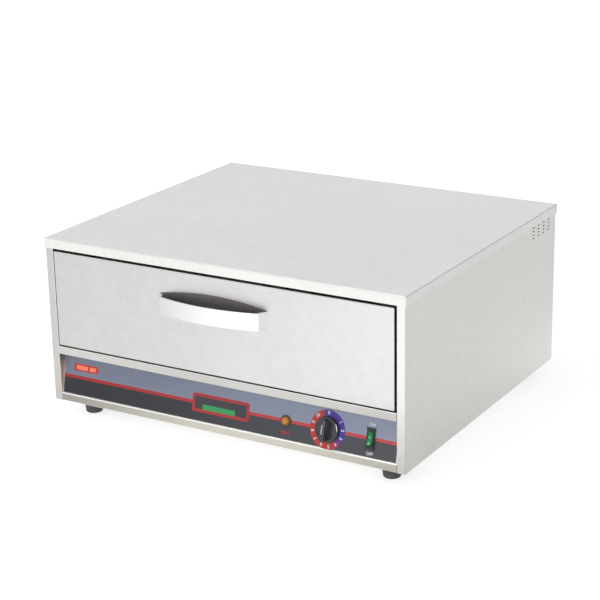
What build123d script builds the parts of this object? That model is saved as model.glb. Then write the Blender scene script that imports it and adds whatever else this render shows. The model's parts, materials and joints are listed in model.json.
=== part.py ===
from build123d import *
import os
from math import cos, pi, radians, sin, sqrt, tan

# A drawer bun warmer: a folded stainless casing on rubber feet, a heated and insulated chamber
# with one drawer on roller slides, and a control panel that leans back under the drawer.
# Millimetres, +Z up, the front towards -Y. The origin lies on the surface that the feet stand
# on, under the middle of the whole outline from the handle to the cable gland.

# Casing
casing_width = 585.0
casing_depth = 500.0
casing_height = 250.0
foot_height = 26.0
sheet = 1.0
inner_fold = 0.5
seam_flange = 13.0
cover_flange = 14.0
cover_clearance = 0.8

# Front frame, from the bottom up
stile_width = 13.0
bottom_rail_height = 13.0
bottom_rail_bend = 3.5
control_height = 60.0
middle_rail_height = 12.5
jamb_margin = 2.0

# Side vents, a grid of short slots high up near the rear edge
vent_columns = 4
vent_rows = 4
vent_column_pitch = 18.7
vent_row_pitch = 5.4
vent_slot_length = 6.5
vent_slot_height = 1.6
vent_from_rear = 56.5
vent_below_cover = 10.5
vent_margin = 3.0

# Base and rear vents, rows of long slots
louvre_count = 8
louvre_pitch = 14.0
louvre_length = 60.0
louvre_height = 4.0
louvre_spread = 150.0
rear_louvre_rise = 32.0
rear_louvre_columns = 2
rear_louvre_rows = 3

# Feet
foot_inset_x = 40.5
foot_inset_y = 40.0
foot_top_radius = 15.0
foot_tip_radius = 12.5
foot_edge = 3.0
foot_bore_radius = 6.0
foot_bore_depth = 12.0
foot_screw_radius = 2.5
foot_screw_head_radius = 5.0
foot_screw_head_height = 3.0
foot_screw_spare = 6.0

# Casing screws
screw_radius = 2.0
screw_clearance = 0.15
screw_head_radius = 3.8
screw_head_height = 2.2
screw_head_taper = 20.0
screw_recess_width = 0.9
screw_tail = 3.0
rear_screw_margin = 35.0
base_screw_margin = 60.0

# Heated chamber
rear_insulation_depth = 20.0
shield_drop = 8.0
shield_inset = 20.0
shield_front_gap = 20.0

# Drawer
drawer_gap_top = 4.5
drawer_gap_bottom = 2.0
drawer_gap_left = 0.8
drawer_gap_right = 3.3
drawer_front_depth = 20.0
drawer_floor_step = 4.5
drawer_side_drop = 20.0
drawer_rear_gap = 15.0
drawer_corner = 4.0
drawer_rim = 6.0
drawer_hole_radius = 4.0
drawer_hole_pitch = 36.0
drawer_hole_margin = 30.0

# Roller slides
slide_space = 13.0
slide_rise = 3.0
slide_setback = 2.0
slide_overlap = 60.0
stop_height = 4.0
stop_length = 3.0
stop_clearance = 0.3
rail_sheet = 1.2
rail_lip = 10.0
drawer_rail_flange = 10.5
roller_radius = 9.0
roller_clearance = 0.3
roller_side_gap = 0.8
roller_free_gap = 2.8
roller_inset = 13.0
roller_edge = 1.0
flange_clearance = 1.0
axle_radius = 2.5
axle_clearance = 0.05
axle_head_radius = 4.0
axle_head_height = 0.8
axle_end_play = 0.3

# Handle
handle_length = 172.5
handle_shift = -4.5
handle_height = 25.5
handle_reach = 26.0
handle_end_reach = 15.5
handle_end_lean = 5.0
handle_wall = 3.0
handle_end_width = 3.6
handle_boss_width = 8.5
handle_boss_height = 10.0
handle_boss_cover = 1.5
handle_corner = 7.0
handle_inner_corner = 4.5
handle_edge = 1.0
handle_drop = 48.25
handle_lip = 1.4
handle_screw_depth = 10.0
backplate_thickness = 1.2
backplate_inset = 0.8
backplate_wing = 2.0
backplate_shoulder = 0.5
backplate_clearance = 0.1
backplate_crown = 9.5
handle_screw_room = 1.0

# Control panel
panel_tilt = 13.0
panel_setback = 1.0
panel_flange = 15.0
overlay_thickness = 0.5
overlay_margin = 2.5
overlay_foot_gap = 0.8
overlay_end_gap = 2.2
control_line = 26.4
fitting_clearance = 0.2

# Thermostat and knob
dial_from_switch = 67.0
thermostat_width = 44.0
thermostat_height = 34.0
thermostat_depth = 35.0
bush_radius = 5.0
bush_length = 3.2
shaft_radius = 3.0
shaft_clearance = 0.05
shaft_seat = 20.0
shaft_reach = 14.0
nut_flats = 13.0
nut_height = 2.4
nut_recess = 8.5
knob_radius = 18.5
knob_gap = 0.6
knob_skirt = 5.0
knob_skirt_taper = 8.0
knob_hollow_radius = 13.0
knob_bush_clearance = 0.6
knob_grip_width = 9.5
knob_grip_length = 33.0
knob_grip_height = 12.0
knob_grip_edge = 1.5

# Indicator lamp
lamp_from_dial = 65.6
lamp_bezel_radius = 8.2
lamp_bezel_height = 1.8
lamp_barrel_radius = 5.5
lamp_barrel_length = 24.0
lens_radius = 6.6
lens_clearance = 0.1
lens_seat = 0.6
lens_height = 5.2
lens_dome = 2.4

# Rocker switch
switch_from_end = 41.9
switch_width = 12.0
switch_height = 29.0
switch_corner = 1.5
switch_bezel = 2.5
switch_body_width = 11.2
switch_body_height = 26.0
switch_depth = 24.0
rocker_width = 8.0
rocker_radius = 10.2
rocker_gap = 0.35
rocker_crown = 3.3
rocker_throw = 16.0
pivot_radius = 1.5
pivot_length = 1.0
pivot_clearance = 0.05

# Heating element under the drawer
element_radius = 4.0
element_lift = 4.0
element_inset = 49.5
element_pitch = 110.0
element_front_gap = 40.0
element_back_gap = 50.0
element_inner_gap = 80.0
element_bend = 40.0
element_tail = 22.0
bushing_radius = 6.0
bushing_flange_radius = 8.5
bushing_flange = 1.6
bushing_tail = 6.0
tube_clearance = 0.1
clip_wall = 3.0
clip_depth = 8.0

# Thermostat probe
probe_radius = 3.0
probe_length = 90.0
probe_inset = 24.5
probe_lift = 5.0
probe_lead = 25.0
probe_clip_inset = 22.5
capillary_radius = 1.0
capillary_bend = 8.0
capillary_run = 30.0
capillary_hole_radius = 3.0
joint_gap = 0.15

# Connection space
terminal_from_side = 87.5
terminal_from_rear = 75.0
terminal_width = 46.0
terminal_depth = 22.0
terminal_height = 18.0
terminal_pitch = 14.0
terminal_hole_radius = 2.6
terminal_hole_depth = 8.0
gland_rise = 30.0
gland_reach = 20.0
gland_hex = 24.0
gland_hex_height = 7.0
gland_dome_radius = 9.5
gland_dome_edge = 3.0
gland_thread_radius = 8.0
gland_thread_length = 12.0
gland_bore_radius = 4.2
gland_nut_height = 5.0
stud_from_terminal = 45.0
stud_radius = 2.5
stud_height = 14.0
stud_collar_radius = 5.0
stud_collar_height = 4.0
wire_radius = 1.3
wire_bend = 9.0
wire_lead = 16.0
wire_level = 9.0
wire_rise = 12.0
contact_offset = 7.0
lamp_contact = 3.0
heater_lead = 55.0
neutral_run = 80.0
lamp_run = 130.0

# Levels and places that follow from the sizes above
fold_radius = sheet + inner_fold
rail_fold = rail_sheet + inner_fold
casing_bottom = foot_height
casing_top = casing_bottom + casing_height
front = (handle_reach - gland_reach - casing_depth) / 2
back = front + casing_depth
middle_y = (front + back) / 2
half_width = casing_width / 2
plate_half = half_width - fold_radius
opening_half = half_width - stile_width
control_bottom = casing_bottom + bottom_rail_height
control_top = control_bottom + control_height
opening_bottom = control_top + middle_rail_height
opening_top = casing_top - cover_flange
jamb_back = front + drawer_front_depth + jamb_margin
chamber_back = back - 3 * sheet - rear_insulation_depth
floor_top = control_top + sheet
base_top = casing_bottom + 2 * sheet
shield_bottom = control_top - shield_drop
shield_half = opening_half - shield_inset
shield_front = jamb_back + shield_front_gap

drawer_front_left = drawer_gap_left - opening_half
drawer_front_right = opening_half - drawer_gap_right
drawer_front_bottom = opening_bottom + drawer_gap_bottom
drawer_front_top = opening_top - drawer_gap_top
drawer_front_back = front + drawer_front_depth
liner_left = drawer_front_left + fold_radius
liner_right = drawer_front_right - fold_radius
liner_bottom = drawer_front_bottom + fold_radius
liner_top = drawer_front_top - fold_radius
drawer_half = opening_half - slide_space
drawer_bottom_level = drawer_front_bottom + drawer_floor_step
drawer_top = drawer_front_top - drawer_side_drop
drawer_back = chamber_back - drawer_rear_gap

slide_bottom = drawer_bottom_level + slide_rise
roller_level = slide_bottom + rail_sheet + roller_clearance + roller_radius
drawer_flange_bottom = roller_level + roller_radius + roller_clearance
slide_top = drawer_flange_bottom + rail_sheet + flange_clearance + rail_sheet
rail_front = jamb_back + slide_setback
rail_back = chamber_back - slide_setback
front_roller_y = rail_front + roller_inset
rear_roller_y = drawer_back - roller_inset
roller_width = slide_space - 2 * rail_sheet - roller_side_gap - roller_free_gap
drawer_travel = rear_roller_y - front_roller_y - 2 * roller_radius - slide_overlap
stop_rise = roller_radius + roller_clearance - stop_height
stop_reach = sqrt(roller_radius**2 - stop_rise**2) + stop_clearance

handle_centre = drawer_front_top - handle_drop
handle_bottom = handle_centre - handle_height / 2
handle_top = handle_centre + handle_height / 2
handle_half = handle_length / 2
handle_seat = front - backplate_thickness
backplate_half = handle_half - handle_lip - backplate_clearance
handle_boss_outside = handle_half - handle_end_width
handle_boss_inside = handle_boss_outside - handle_boss_width
handle_screw_half = handle_boss_outside - handle_boss_width / 2

# The control panel's outer face: X to the right, local Y up the slope, Z out of the panel
slope = radians(panel_tilt)
panel_face = Plane(
    origin=(0, front + panel_setback, control_bottom),
    x_dir=(1, 0, 0),
    z_dir=(0, -cos(slope), sin(slope)),
)
panel_out = Axis(panel_face.origin, panel_face.z_dir)
panel_length = control_height / cos(slope)
panel_back = panel_face.offset(-overlay_thickness - sheet)
metal_front = front + panel_setback + overlay_thickness / cos(slope)
metal_front_top = metal_front + control_height * tan(slope)
fitting_back = overlay_thickness + sheet
switch_x = opening_half - switch_from_end
dial_x = switch_x - dial_from_switch
lamp_x = dial_x - lamp_from_dial
terminal_x = half_width - terminal_from_side
switch_cutout_width = switch_body_width + 2 * fitting_clearance
switch_cutout_height = switch_body_height + 2 * fitting_clearance

# Faces that look to the rear: local X runs towards -X, local Y up
rear_face = Plane((0, back, 0), x_dir=(-1, 0, 0), z_dir=(0, 1, 0))
rear_panel_face = rear_face.offset(-sheet)
skin_inside = Plane((0, front + sheet, 0), x_dir=(-1, 0, 0), z_dir=(0, 1, 0))


def block(x, y, z, mode=Mode.ADD):
    """A square-edged block between two values on each axis."""
    with Locations((x[0], y[0], z[0])):
        Box(
            x[1] - x[0],
            y[1] - y[0],
            z[1] - z[0],
            align=(Align.MIN, Align.MIN, Align.MIN),
            mode=mode,
        )


def post(spots, level, radius, height, mode=Mode.ADD):
    """Upright cylinders that stand on a level at the given spots."""
    with Locations(*[(x, y, level) for x, y in spots]):
        Cylinder(radius, height, align=(Align.CENTER, Align.CENTER, Align.MIN), mode=mode)


def rod(plane, spots, radius, length, mode=Mode.ADD):
    """Cylinders that run from a plane along its normal at the given spots."""
    with BuildSketch(plane) as ends:
        with Locations(*spots):
            Circle(radius)
    extrude(ends.sketch, amount=length, mode=mode)


def pan_screws(plane, spots, length):
    """Cross-recessed pan-head screws seated on a plane, with their heads on its outer side."""
    rod(plane, spots, screw_radius, -length)
    with BuildSketch(plane) as heads:
        with Locations(*spots):
            Circle(screw_head_radius)
    extrude(heads.sketch, amount=screw_head_height, taper=screw_head_taper)
    with BuildSketch(plane.offset(screw_head_height)) as recesses:
        with Locations(*spots):
            Rectangle(2 * screw_radius, screw_recess_width)
            Rectangle(screw_recess_width, 2 * screw_radius)
    extrude(recesses.sketch, amount=-screw_head_height / 2, mode=Mode.SUBTRACT)


def tube(points, bends, radius):
    """A round tube or wire along straight runs joined by tangent arcs."""
    with BuildLine() as route:
        FilletPolyline(*points, radius=bends)
    path = route.wires()[0]
    with BuildSketch(Plane(origin=path @ 0, z_dir=path % 0)) as end:
        Circle(radius)
    sweep(end.sketch, path=path)


def front_rail(bottom, height, top_bend=fold_radius):
    """A channel folded from sheet, open to the rear, that fits between the two jambs."""
    with BuildSketch(Plane.YZ.offset(-opening_half)) as section:
        with BuildLine():
            FilletPolyline(
                (jamb_back, bottom),
                (front, bottom),
                (front, bottom + height),
                (jamb_back, bottom + height),
                radius=[fold_radius, top_bend],
            )
            offset(amount=sheet, side=Side.RIGHT)
        make_face()
    extrude(section.sketch, amount=2 * opening_half)


def saddle(x, y, bore, centre_level):
    """A clip that stands on the chamber floor and holds a tube that runs from front to rear."""
    reach = bore + clip_wall
    block(
        (x - reach, x + reach),
        (y - clip_depth / 2, y + clip_depth / 2),
        (floor_top, centre_level + reach),
    )
    rod(Plane.XZ.offset(-y - clip_depth / 2), [(x, centre_level)], bore, clip_depth, Mode.SUBTRACT)


def on_panel(x, up, out):
    """A point given in the control panel's own directions."""
    return panel_face.from_local_coords((x, up, out))


# Fastener places
foot_spots = [
    (sx * (half_width - foot_inset_x), y)
    for sx in (-1, 1)
    for y in (front + foot_inset_y, back - foot_inset_y)
]
flange_middle = half_width - seam_flange / 2
rear_screw_low = base_top + rear_screw_margin
rear_screw_high = opening_top - rear_screw_margin
rear_screw_spots = [
    (sx * flange_middle, z)
    for sx in (-1, 1)
    for z in (rear_screw_low, (rear_screw_low + rear_screw_high) / 2, rear_screw_high)
]
cover_screw_spots = [(sx * flange_middle, casing_top - cover_flange / 2) for sx in (-1, 0, 1)]
base_screw_spots = [
    (sx * flange_middle, y)
    for sx in (-1, 1)
    for y in (jamb_back + base_screw_margin, middle_y, back - base_screw_margin)
]
handle_screw_spots = [
    (sx * handle_screw_half - handle_shift, handle_centre) for sx in (-1, 1)
]
vent_centre = (back - vent_from_rear, opening_top - vent_below_cover)
gland_spot = (-terminal_x, casing_bottom + gland_rise)

# Casing
with BuildPart() as top_cover:
    cover_reach = sheet + cover_clearance
    block(
        (-half_width - cover_reach, half_width + cover_reach),
        (front - cover_reach, back + cover_reach),
        (casing_top - cover_flange, casing_top),
    )
    fillet(top_cover.edges().filter_by(Axis.Z), fold_radius)
    fillet(top_cover.faces().sort_by(Axis.Z)[-1].edges(), fold_radius)
    offset(amount=-sheet, openings=top_cover.faces().sort_by(Axis.Z)[0])
    rod(
        rear_face.offset(cover_reach),
        cover_screw_spots,
        screw_radius + screw_clearance,
        -sheet,
        Mode.SUBTRACT,
    )

with BuildPart() as right_side_panel:
    with BuildSketch(Plane.XY.offset(casing_bottom)):
        with BuildLine():
            FilletPolyline(
                (opening_half, jamb_back),
                (opening_half, front),
                (half_width, front),
                (half_width, back),
                (half_width - seam_flange, back),
                radius=fold_radius,
            )
            offset(amount=sheet, side=Side.LEFT)
        make_face()
    extrude(amount=casing_height - sheet)
    block(
        (half_width - seam_flange, half_width - sheet / 2),
        (jamb_back, back - sheet / 2),
        (casing_bottom, casing_bottom + sheet),
    )
    block(
        (opening_half + sheet / 2, half_width - sheet / 2),
        (front + sheet / 2, jamb_back),
        (casing_bottom, casing_bottom + sheet),
    )
    with BuildSketch(Plane.YZ.offset(half_width)):
        with Locations(vent_centre):
            with GridLocations(vent_column_pitch, vent_row_pitch, vent_columns, vent_rows):
                SlotOverall(vent_slot_length, vent_slot_height)
    extrude(amount=-sheet, mode=Mode.SUBTRACT)
    rod(
        rear_face,
        rear_screw_spots + cover_screw_spots,
        screw_radius + screw_clearance,
        -sheet,
        Mode.SUBTRACT,
    )
    post(
        base_screw_spots,
        casing_bottom,
        screw_radius + screw_clearance,
        sheet,
        Mode.SUBTRACT,
    )

with BuildPart() as left_side_panel:
    mirror(right_side_panel.part, about=Plane.YZ)

with BuildPart() as base_plate:
    block((-plate_half, plate_half), (jamb_back, back - fold_radius), (base_top - sheet, base_top))
    block((-opening_half, opening_half), (front + fold_radius, jamb_back), (base_top - sheet, base_top))
    post(foot_spots, base_top - sheet, foot_screw_radius + screw_clearance, sheet, Mode.SUBTRACT)
    post(base_screw_spots, base_top - sheet, screw_radius + screw_clearance, sheet, Mode.SUBTRACT)
    with BuildSketch(Plane.XY.offset(base_top)):
        with Locations((-louvre_spread / 2, middle_y), (louvre_spread / 2, middle_y)):
            with GridLocations(louvre_length, louvre_pitch, 1, louvre_count):
                SlotOverall(louvre_length, louvre_height)
    extrude(amount=-sheet, mode=Mode.SUBTRACT)

with BuildPart() as rear_panel:
    block(
        (-plate_half, plate_half),
        (back - 2 * sheet, back - sheet),
        (base_top, casing_top - sheet),
    )
    rod(
        rear_panel_face,
        rear_screw_spots + cover_screw_spots,
        screw_radius + screw_clearance,
        -sheet,
        Mode.SUBTRACT,
    )
    rod(
        rear_panel_face,
        [gland_spot],
        gland_thread_radius + fitting_clearance,
        -sheet,
        Mode.SUBTRACT,
    )
    with BuildSketch(rear_panel_face):
        with Locations((louvre_spread / 2, casing_bottom + rear_louvre_rise)):
            with GridLocations(
                louvre_length + louvre_pitch,
                louvre_pitch,
                rear_louvre_columns,
                rear_louvre_rows,
            ):
                SlotOverall(louvre_length, louvre_height)
    extrude(amount=-sheet, mode=Mode.SUBTRACT)

with BuildPart() as bottom_rail:
    front_rail(casing_bottom, bottom_rail_height, bottom_rail_bend)

with BuildPart() as middle_rail:
    front_rail(control_top, middle_rail_height)

with BuildPart() as top_rail:
    front_rail(opening_top, cover_flange - sheet)

# Control panel
with BuildPart() as control_panel:
    with BuildSketch(Plane.YZ.offset(-opening_half)):
        with BuildLine():
            FilletPolyline(
                (metal_front_top + panel_flange, control_top),
                (metal_front_top, control_top),
                (metal_front, control_bottom),
                (metal_front + panel_flange, control_bottom),
                radius=fold_radius,
            )
            offset(amount=sheet, side=Side.LEFT)
        make_face()
    extrude(amount=2 * opening_half)
    rod(
        panel_face,
        [(dial_x, control_line)],
        bush_radius + fitting_clearance,
        -fitting_back,
        Mode.SUBTRACT,
    )
    rod(
        panel_face,
        [(lamp_x, control_line)],
        lamp_barrel_radius + fitting_clearance,
        -fitting_back,
        Mode.SUBTRACT,
    )
    with BuildSketch(panel_face):
        with Locations((switch_x, control_line)):
            Rectangle(switch_cutout_width, switch_cutout_height)
    extrude(amount=-fitting_back, mode=Mode.SUBTRACT)

with BuildPart() as control_overlay:
    with BuildSketch(panel_face):
        with Locations((0, (panel_length - overlay_margin + overlay_foot_gap) / 2)):
            Rectangle(2 * (opening_half - overlay_end_gap), panel_length - overlay_margin - overlay_foot_gap)
        with Locations((dial_x, control_line)):
            Circle(nut_recess, mode=Mode.SUBTRACT)
        with Locations((lamp_x, control_line)):
            Circle(lamp_barrel_radius + fitting_clearance, mode=Mode.SUBTRACT)
        with Locations((switch_x, control_line)):
            Rectangle(switch_cutout_width, switch_cutout_height, mode=Mode.SUBTRACT)
    extrude(amount=-overlay_thickness)

# Heated chamber and its insulation
element_end_bend = element_lift + element_radius
element_level = floor_top + element_end_bend
element_outer = opening_half - element_inset
element_inner = element_outer - element_pitch
element_front = jamb_back + element_front_gap
element_back = chamber_back - element_back_gap
element_inner_back = element_back - element_inner_gap
element_bottom = control_top - element_tail
element_spots = [(element_outer, element_front), (element_inner, element_front)]
port = on_panel(dial_x, control_line, -fitting_back - thermostat_depth - joint_gap)
port_lead = on_panel(dial_x, control_line, -fitting_back - thermostat_depth - capillary_run)
probe_x = opening_half - probe_inset
probe_level = floor_top + probe_lift + probe_radius
capillary_spot = (probe_x, port_lead.Y)

with BuildPart() as chamber_floor:
    block((-opening_half, opening_half), (jamb_back, chamber_back), (control_top, floor_top))
    post(element_spots, control_top, bushing_radius + fitting_clearance, sheet, Mode.SUBTRACT)
    post([capillary_spot], control_top, capillary_hole_radius, sheet, Mode.SUBTRACT)

with BuildPart() as chamber_ceiling:
    block((-opening_half, opening_half), (jamb_back, chamber_back), (opening_top, opening_top + sheet))

with BuildPart() as chamber_rear_wall:
    block(
        (-opening_half - sheet, opening_half + sheet),
        (chamber_back, chamber_back + sheet),
        (control_top, opening_top + sheet),
    )

with BuildPart() as chamber_right_wall:
    block(
        (opening_half, opening_half + sheet),
        (jamb_back, chamber_back),
        (control_top, opening_top + sheet),
    )
    with BuildSketch(Plane.YZ.offset(opening_half)):
        with Locations(vent_centre):
            with GridLocations(vent_column_pitch, vent_row_pitch, vent_columns, vent_rows):
                SlotOverall(vent_slot_length, vent_slot_height)
    extrude(amount=sheet, mode=Mode.SUBTRACT)

with BuildPart() as chamber_left_wall:
    mirror(chamber_right_wall.part, about=Plane.YZ)

with BuildPart() as right_insulation:
    block(
        (opening_half + sheet, half_width - sheet),
        (jamb_back, chamber_back + sheet),
        (control_top, opening_top + sheet),
    )
    with BuildSketch(Plane.YZ.offset(opening_half)):
        with Locations(vent_centre):
            Rectangle(
                vent_columns * vent_column_pitch + vent_margin,
                vent_rows * vent_row_pitch + vent_margin,
            )
    extrude(amount=stile_width, mode=Mode.SUBTRACT)

with BuildPart() as left_insulation:
    mirror(right_insulation.part, about=Plane.YZ)

with BuildPart() as rear_insulation:
    block(
        (-half_width + sheet, half_width - sheet),
        (chamber_back + sheet, back - 2 * sheet),
        (control_top, opening_top + sheet),
    )
    rod(
        rear_face.offset(-2 * sheet),
        rear_screw_spots,
        screw_radius + screw_clearance,
        -screw_tail - screw_clearance,
        Mode.SUBTRACT,
    )

with BuildPart() as top_insulation:
    block(
        (-opening_half, opening_half),
        (jamb_back, chamber_back),
        (opening_top + sheet, casing_top - sheet),
    )

with BuildPart() as heat_shield:
    with BuildSketch(Plane.XZ.offset(-chamber_back)):
        with BuildLine():
            FilletPolyline(
                (-shield_half, control_top),
                (-shield_half, shield_bottom),
                (shield_half, shield_bottom),
                (shield_half, control_top),
                radius=fold_radius,
            )
            offset(amount=sheet, side=Side.LEFT)
        make_face()
    extrude(amount=chamber_back - shield_front)
    post(element_spots, shield_bottom, bushing_flange_radius, sheet, Mode.SUBTRACT)
    post([capillary_spot], shield_bottom, capillary_hole_radius, sheet, Mode.SUBTRACT)

# Heating element, its clips and its bushings through the chamber floor
with BuildPart() as heating_element:
    element_loop = [
        (element_outer, element_front),
        (element_outer, element_back),
        (-element_outer, element_back),
        (-element_outer, element_front),
        (-element_inner, element_front),
        (-element_inner, element_inner_back),
        (element_inner, element_inner_back),
        (element_inner, element_front),
    ]
    element_route = [(x, y, element_level) for x, y in element_loop]
    loop_bends = [element_bend] * (len(element_loop) - 2)
    tube(
        [
            (element_outer, element_front, element_bottom),
            *element_route,
            (element_inner, element_front, element_bottom),
        ],
        [element_end_bend, *loop_bends, element_end_bend],
        element_radius,
    )

with BuildPart() as element_clips:
    clip_y = (element_front + element_inner_back) / 2
    for clip_x in (-element_outer, -element_inner, element_inner, element_outer):
        saddle(clip_x, clip_y, element_radius + tube_clearance, element_level)

with BuildPart() as element_bushings:
    bushing_bottom = control_top - bushing_tail
    post(element_spots, bushing_bottom, bushing_radius, floor_top - bushing_bottom)
    post(element_spots, control_top - bushing_flange, bushing_flange_radius, bushing_flange)
    post(
        element_spots,
        bushing_bottom,
        element_radius + tube_clearance,
        floor_top - bushing_bottom,
        Mode.SUBTRACT,
    )

# Thermostat, its probe and its shaft
with BuildPart() as thermostat_body:
    with BuildSketch(panel_back):
        with Locations((dial_x, control_line)):
            Rectangle(thermostat_width, thermostat_height)
    extrude(amount=-thermostat_depth)
    rod(panel_back, [(dial_x, control_line)], bush_radius, fitting_back + bush_length)
    rod(
        panel_face.offset(bush_length),
        [(dial_x, control_line)],
        shaft_radius + shaft_clearance,
        -bush_length - fitting_back - shaft_seat,
        Mode.SUBTRACT,
    )

with BuildPart() as thermostat_nut:
    with BuildSketch(panel_face.offset(-overlay_thickness)):
        with Locations((dial_x, control_line)):
            RegularPolygon(nut_flats / 2, 6, major_radius=False)
            Circle(bush_radius + tube_clearance, mode=Mode.SUBTRACT)
    extrude(amount=nut_height)

with BuildPart() as thermostat_shaft:
    rod(
        panel_face.offset(-fitting_back - shaft_seat + joint_gap),
        [(dial_x, control_line)],
        shaft_radius,
        fitting_back + shaft_seat - joint_gap + shaft_reach,
    )

with BuildPart() as thermostat_probe:
    probe_front = port_lead.Y + probe_lead
    tube(
        [
            (probe_x, probe_front, probe_level),
            (probe_x, port_lead.Y, probe_level),
            (probe_x, port_lead.Y, port_lead.Z),
            port_lead,
            port,
        ],
        capillary_bend,
        capillary_radius,
    )
    rod(Plane.XZ.offset(-probe_front - probe_length), [(probe_x, probe_level)], probe_radius, probe_length)

with BuildPart() as probe_clips:
    for clip_y in (probe_front + probe_clip_inset, probe_front + probe_length - probe_clip_inset):
        saddle(probe_x, clip_y, probe_radius + tube_clearance, probe_level)

# Knob: a skirted black moulding with a bar grip, hollow underneath to clear the nut
with BuildPart() as knob:
    with BuildSketch(panel_face.offset(knob_gap)):
        with Locations((dial_x, control_line)):
            Circle(knob_radius)
    extrude(amount=knob_skirt, taper=knob_skirt_taper)
    with BuildSketch(panel_face.offset(knob_gap + knob_skirt)):
        with Locations((dial_x, control_line)):
            SlotOverall(knob_grip_length, knob_grip_width, rotation=90)
    extrude(amount=knob_grip_height)
    fillet(knob.faces().sort_by(panel_out)[-1].edges(), knob_grip_edge)
    rod(
        panel_face.offset(knob_gap),
        [(dial_x, control_line)],
        knob_hollow_radius,
        bush_length + knob_bush_clearance - knob_gap,
        Mode.SUBTRACT,
    )
    rod(
        panel_face.offset(knob_gap),
        [(dial_x, control_line)],
        shaft_radius + shaft_clearance,
        shaft_reach - knob_gap + joint_gap,
        Mode.SUBTRACT,
    )

# Indicator lamp
with BuildPart() as indicator_housing:
    rod(panel_face, [(lamp_x, control_line)], lamp_bezel_radius, lamp_bezel_height)
    rod(panel_face, [(lamp_x, control_line)], lamp_barrel_radius, -lamp_barrel_length)
    rod(
        panel_face.offset(lens_seat),
        [(lamp_x, control_line)],
        lens_radius + lens_clearance,
        lamp_bezel_height,
        Mode.SUBTRACT,
    )

with BuildPart() as indicator_lens:
    rod(panel_face.offset(lens_seat), [(lamp_x, control_line)], lens_radius, lens_height)
    fillet(indicator_lens.faces().sort_by(panel_out)[-1].edges(), lens_dome)

# Rocker switch, seen from the side: local X up the panel, local Y out of it
switch_side = Plane(
    origin=on_panel(switch_x, control_line, 0),
    x_dir=panel_face.y_dir,
    z_dir=(1, 0, 0),
)
rocker_tilt = radians(rocker_throw / 2)
rocker_side = Plane(
    origin=switch_side.origin,
    x_dir=panel_face.y_dir * cos(rocker_tilt) - panel_face.z_dir * sin(rocker_tilt),
    z_dir=(1, 0, 0),
)
well_width = rocker_width + 2 * rocker_gap

with BuildPart() as switch_housing:
    with BuildSketch(panel_face):
        with Locations((switch_x, control_line)):
            RectangleRounded(switch_width, switch_height, switch_corner)
    extrude(amount=switch_bezel)
    with BuildSketch(panel_face):
        with Locations((switch_x, control_line)):
            Rectangle(switch_body_width, switch_body_height)
    extrude(amount=-switch_depth)
    with BuildSketch(panel_face.offset(switch_bezel)):
        with Locations((switch_x, control_line)):
            Rectangle(well_width, 2 * (rocker_radius + rocker_gap))
    extrude(amount=-switch_bezel - rocker_radius - rocker_gap, mode=Mode.SUBTRACT)
    rod(
        switch_side.offset(-rocker_width / 2 - pivot_length),
        [(0, 0)],
        pivot_radius + pivot_clearance,
        rocker_width + 2 * pivot_length,
        Mode.SUBTRACT,
    )

with BuildPart() as switch_rocker:
    with BuildSketch(rocker_side.offset(-rocker_width / 2)):
        Circle(rocker_radius)
        with BuildLine():
            wing = 2 * rocker_radius
            rise = wing * tan(rocker_tilt)
            Polyline(
                (0, rocker_crown),
                (wing, rocker_crown + rise),
                (wing, rocker_crown + 2 * wing),
                (-wing, rocker_crown + 2 * wing),
                (-wing, rocker_crown + rise),
                close=True,
            )
        make_face(mode=Mode.SUBTRACT)
    extrude(amount=rocker_width)
    rod(
        rocker_side.offset(-rocker_width / 2 - pivot_length + joint_gap),
        [(0, 0)],
        pivot_radius,
        rocker_width + 2 * (pivot_length - joint_gap),
    )

# Connection space at the rear
terminal_y = back - terminal_from_rear
terminal_front = terminal_y - terminal_depth / 2
terminal_spots = [
    (terminal_x + step * terminal_pitch, base_top + wire_level) for step in (-1, 0, 1)
]

with BuildPart() as terminal_block:
    block(
        (terminal_x - terminal_width / 2, terminal_x + terminal_width / 2),
        (terminal_y - terminal_depth / 2, terminal_y + terminal_depth / 2),
        (base_top, base_top + terminal_height),
    )
    rod(
        Plane.XZ.offset(-terminal_front),
        terminal_spots,
        terminal_hole_radius,
        -terminal_hole_depth,
        Mode.SUBTRACT,
    )

with BuildPart() as cable_gland:
    with BuildSketch(rear_panel_face):
        with Locations(gland_spot):
            RegularPolygon(gland_hex / 2, 6, major_radius=False)
    extrude(amount=gland_hex_height)
    rod(rear_panel_face, [gland_spot], gland_dome_radius, sheet + gland_reach)
    fillet(cable_gland.faces().sort_by(Axis.Y)[-1].edges(), gland_dome_edge)
    rod(rear_panel_face, [gland_spot], gland_thread_radius, -gland_thread_length)
    rod(
        rear_panel_face.offset(-gland_thread_length),
        [gland_spot],
        gland_bore_radius,
        gland_thread_length + sheet + gland_reach,
        Mode.SUBTRACT,
    )

with BuildPart() as gland_nut:
    with BuildSketch(rear_panel_face.offset(-sheet)):
        with Locations(gland_spot):
            RegularPolygon(gland_hex / 2, 6, major_radius=False)
            Circle(gland_thread_radius + tube_clearance, mode=Mode.SUBTRACT)
    extrude(amount=-gland_nut_height)

with BuildPart() as earth_stud:
    stud_spot = (terminal_x - stud_from_terminal, terminal_y)
    post([stud_spot], base_top, stud_collar_radius, stud_collar_height)
    post([stud_spot], base_top, stud_radius, stud_height)

# Wires between the block, the switch, the thermostat, the lamp and the heating element
contact_back = fitting_back + thermostat_depth
lead_back = contact_back + wire_lead
inlet_y = terminal_front + terminal_hole_depth - joint_gap
lamp_wire_x, neutral_x, live_x = [x for x, level in terminal_spots]
block_level = base_top + wire_level
live_lead = on_panel(switch_x, control_line - contact_offset, -switch_depth - wire_lead)
feed_lead = on_panel(dial_x - 2 * contact_offset, control_line + contact_offset, -contact_back - heater_lead)
element_end = element_bottom - joint_gap
element_wire_level = element_bottom - wire_rise

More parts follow.
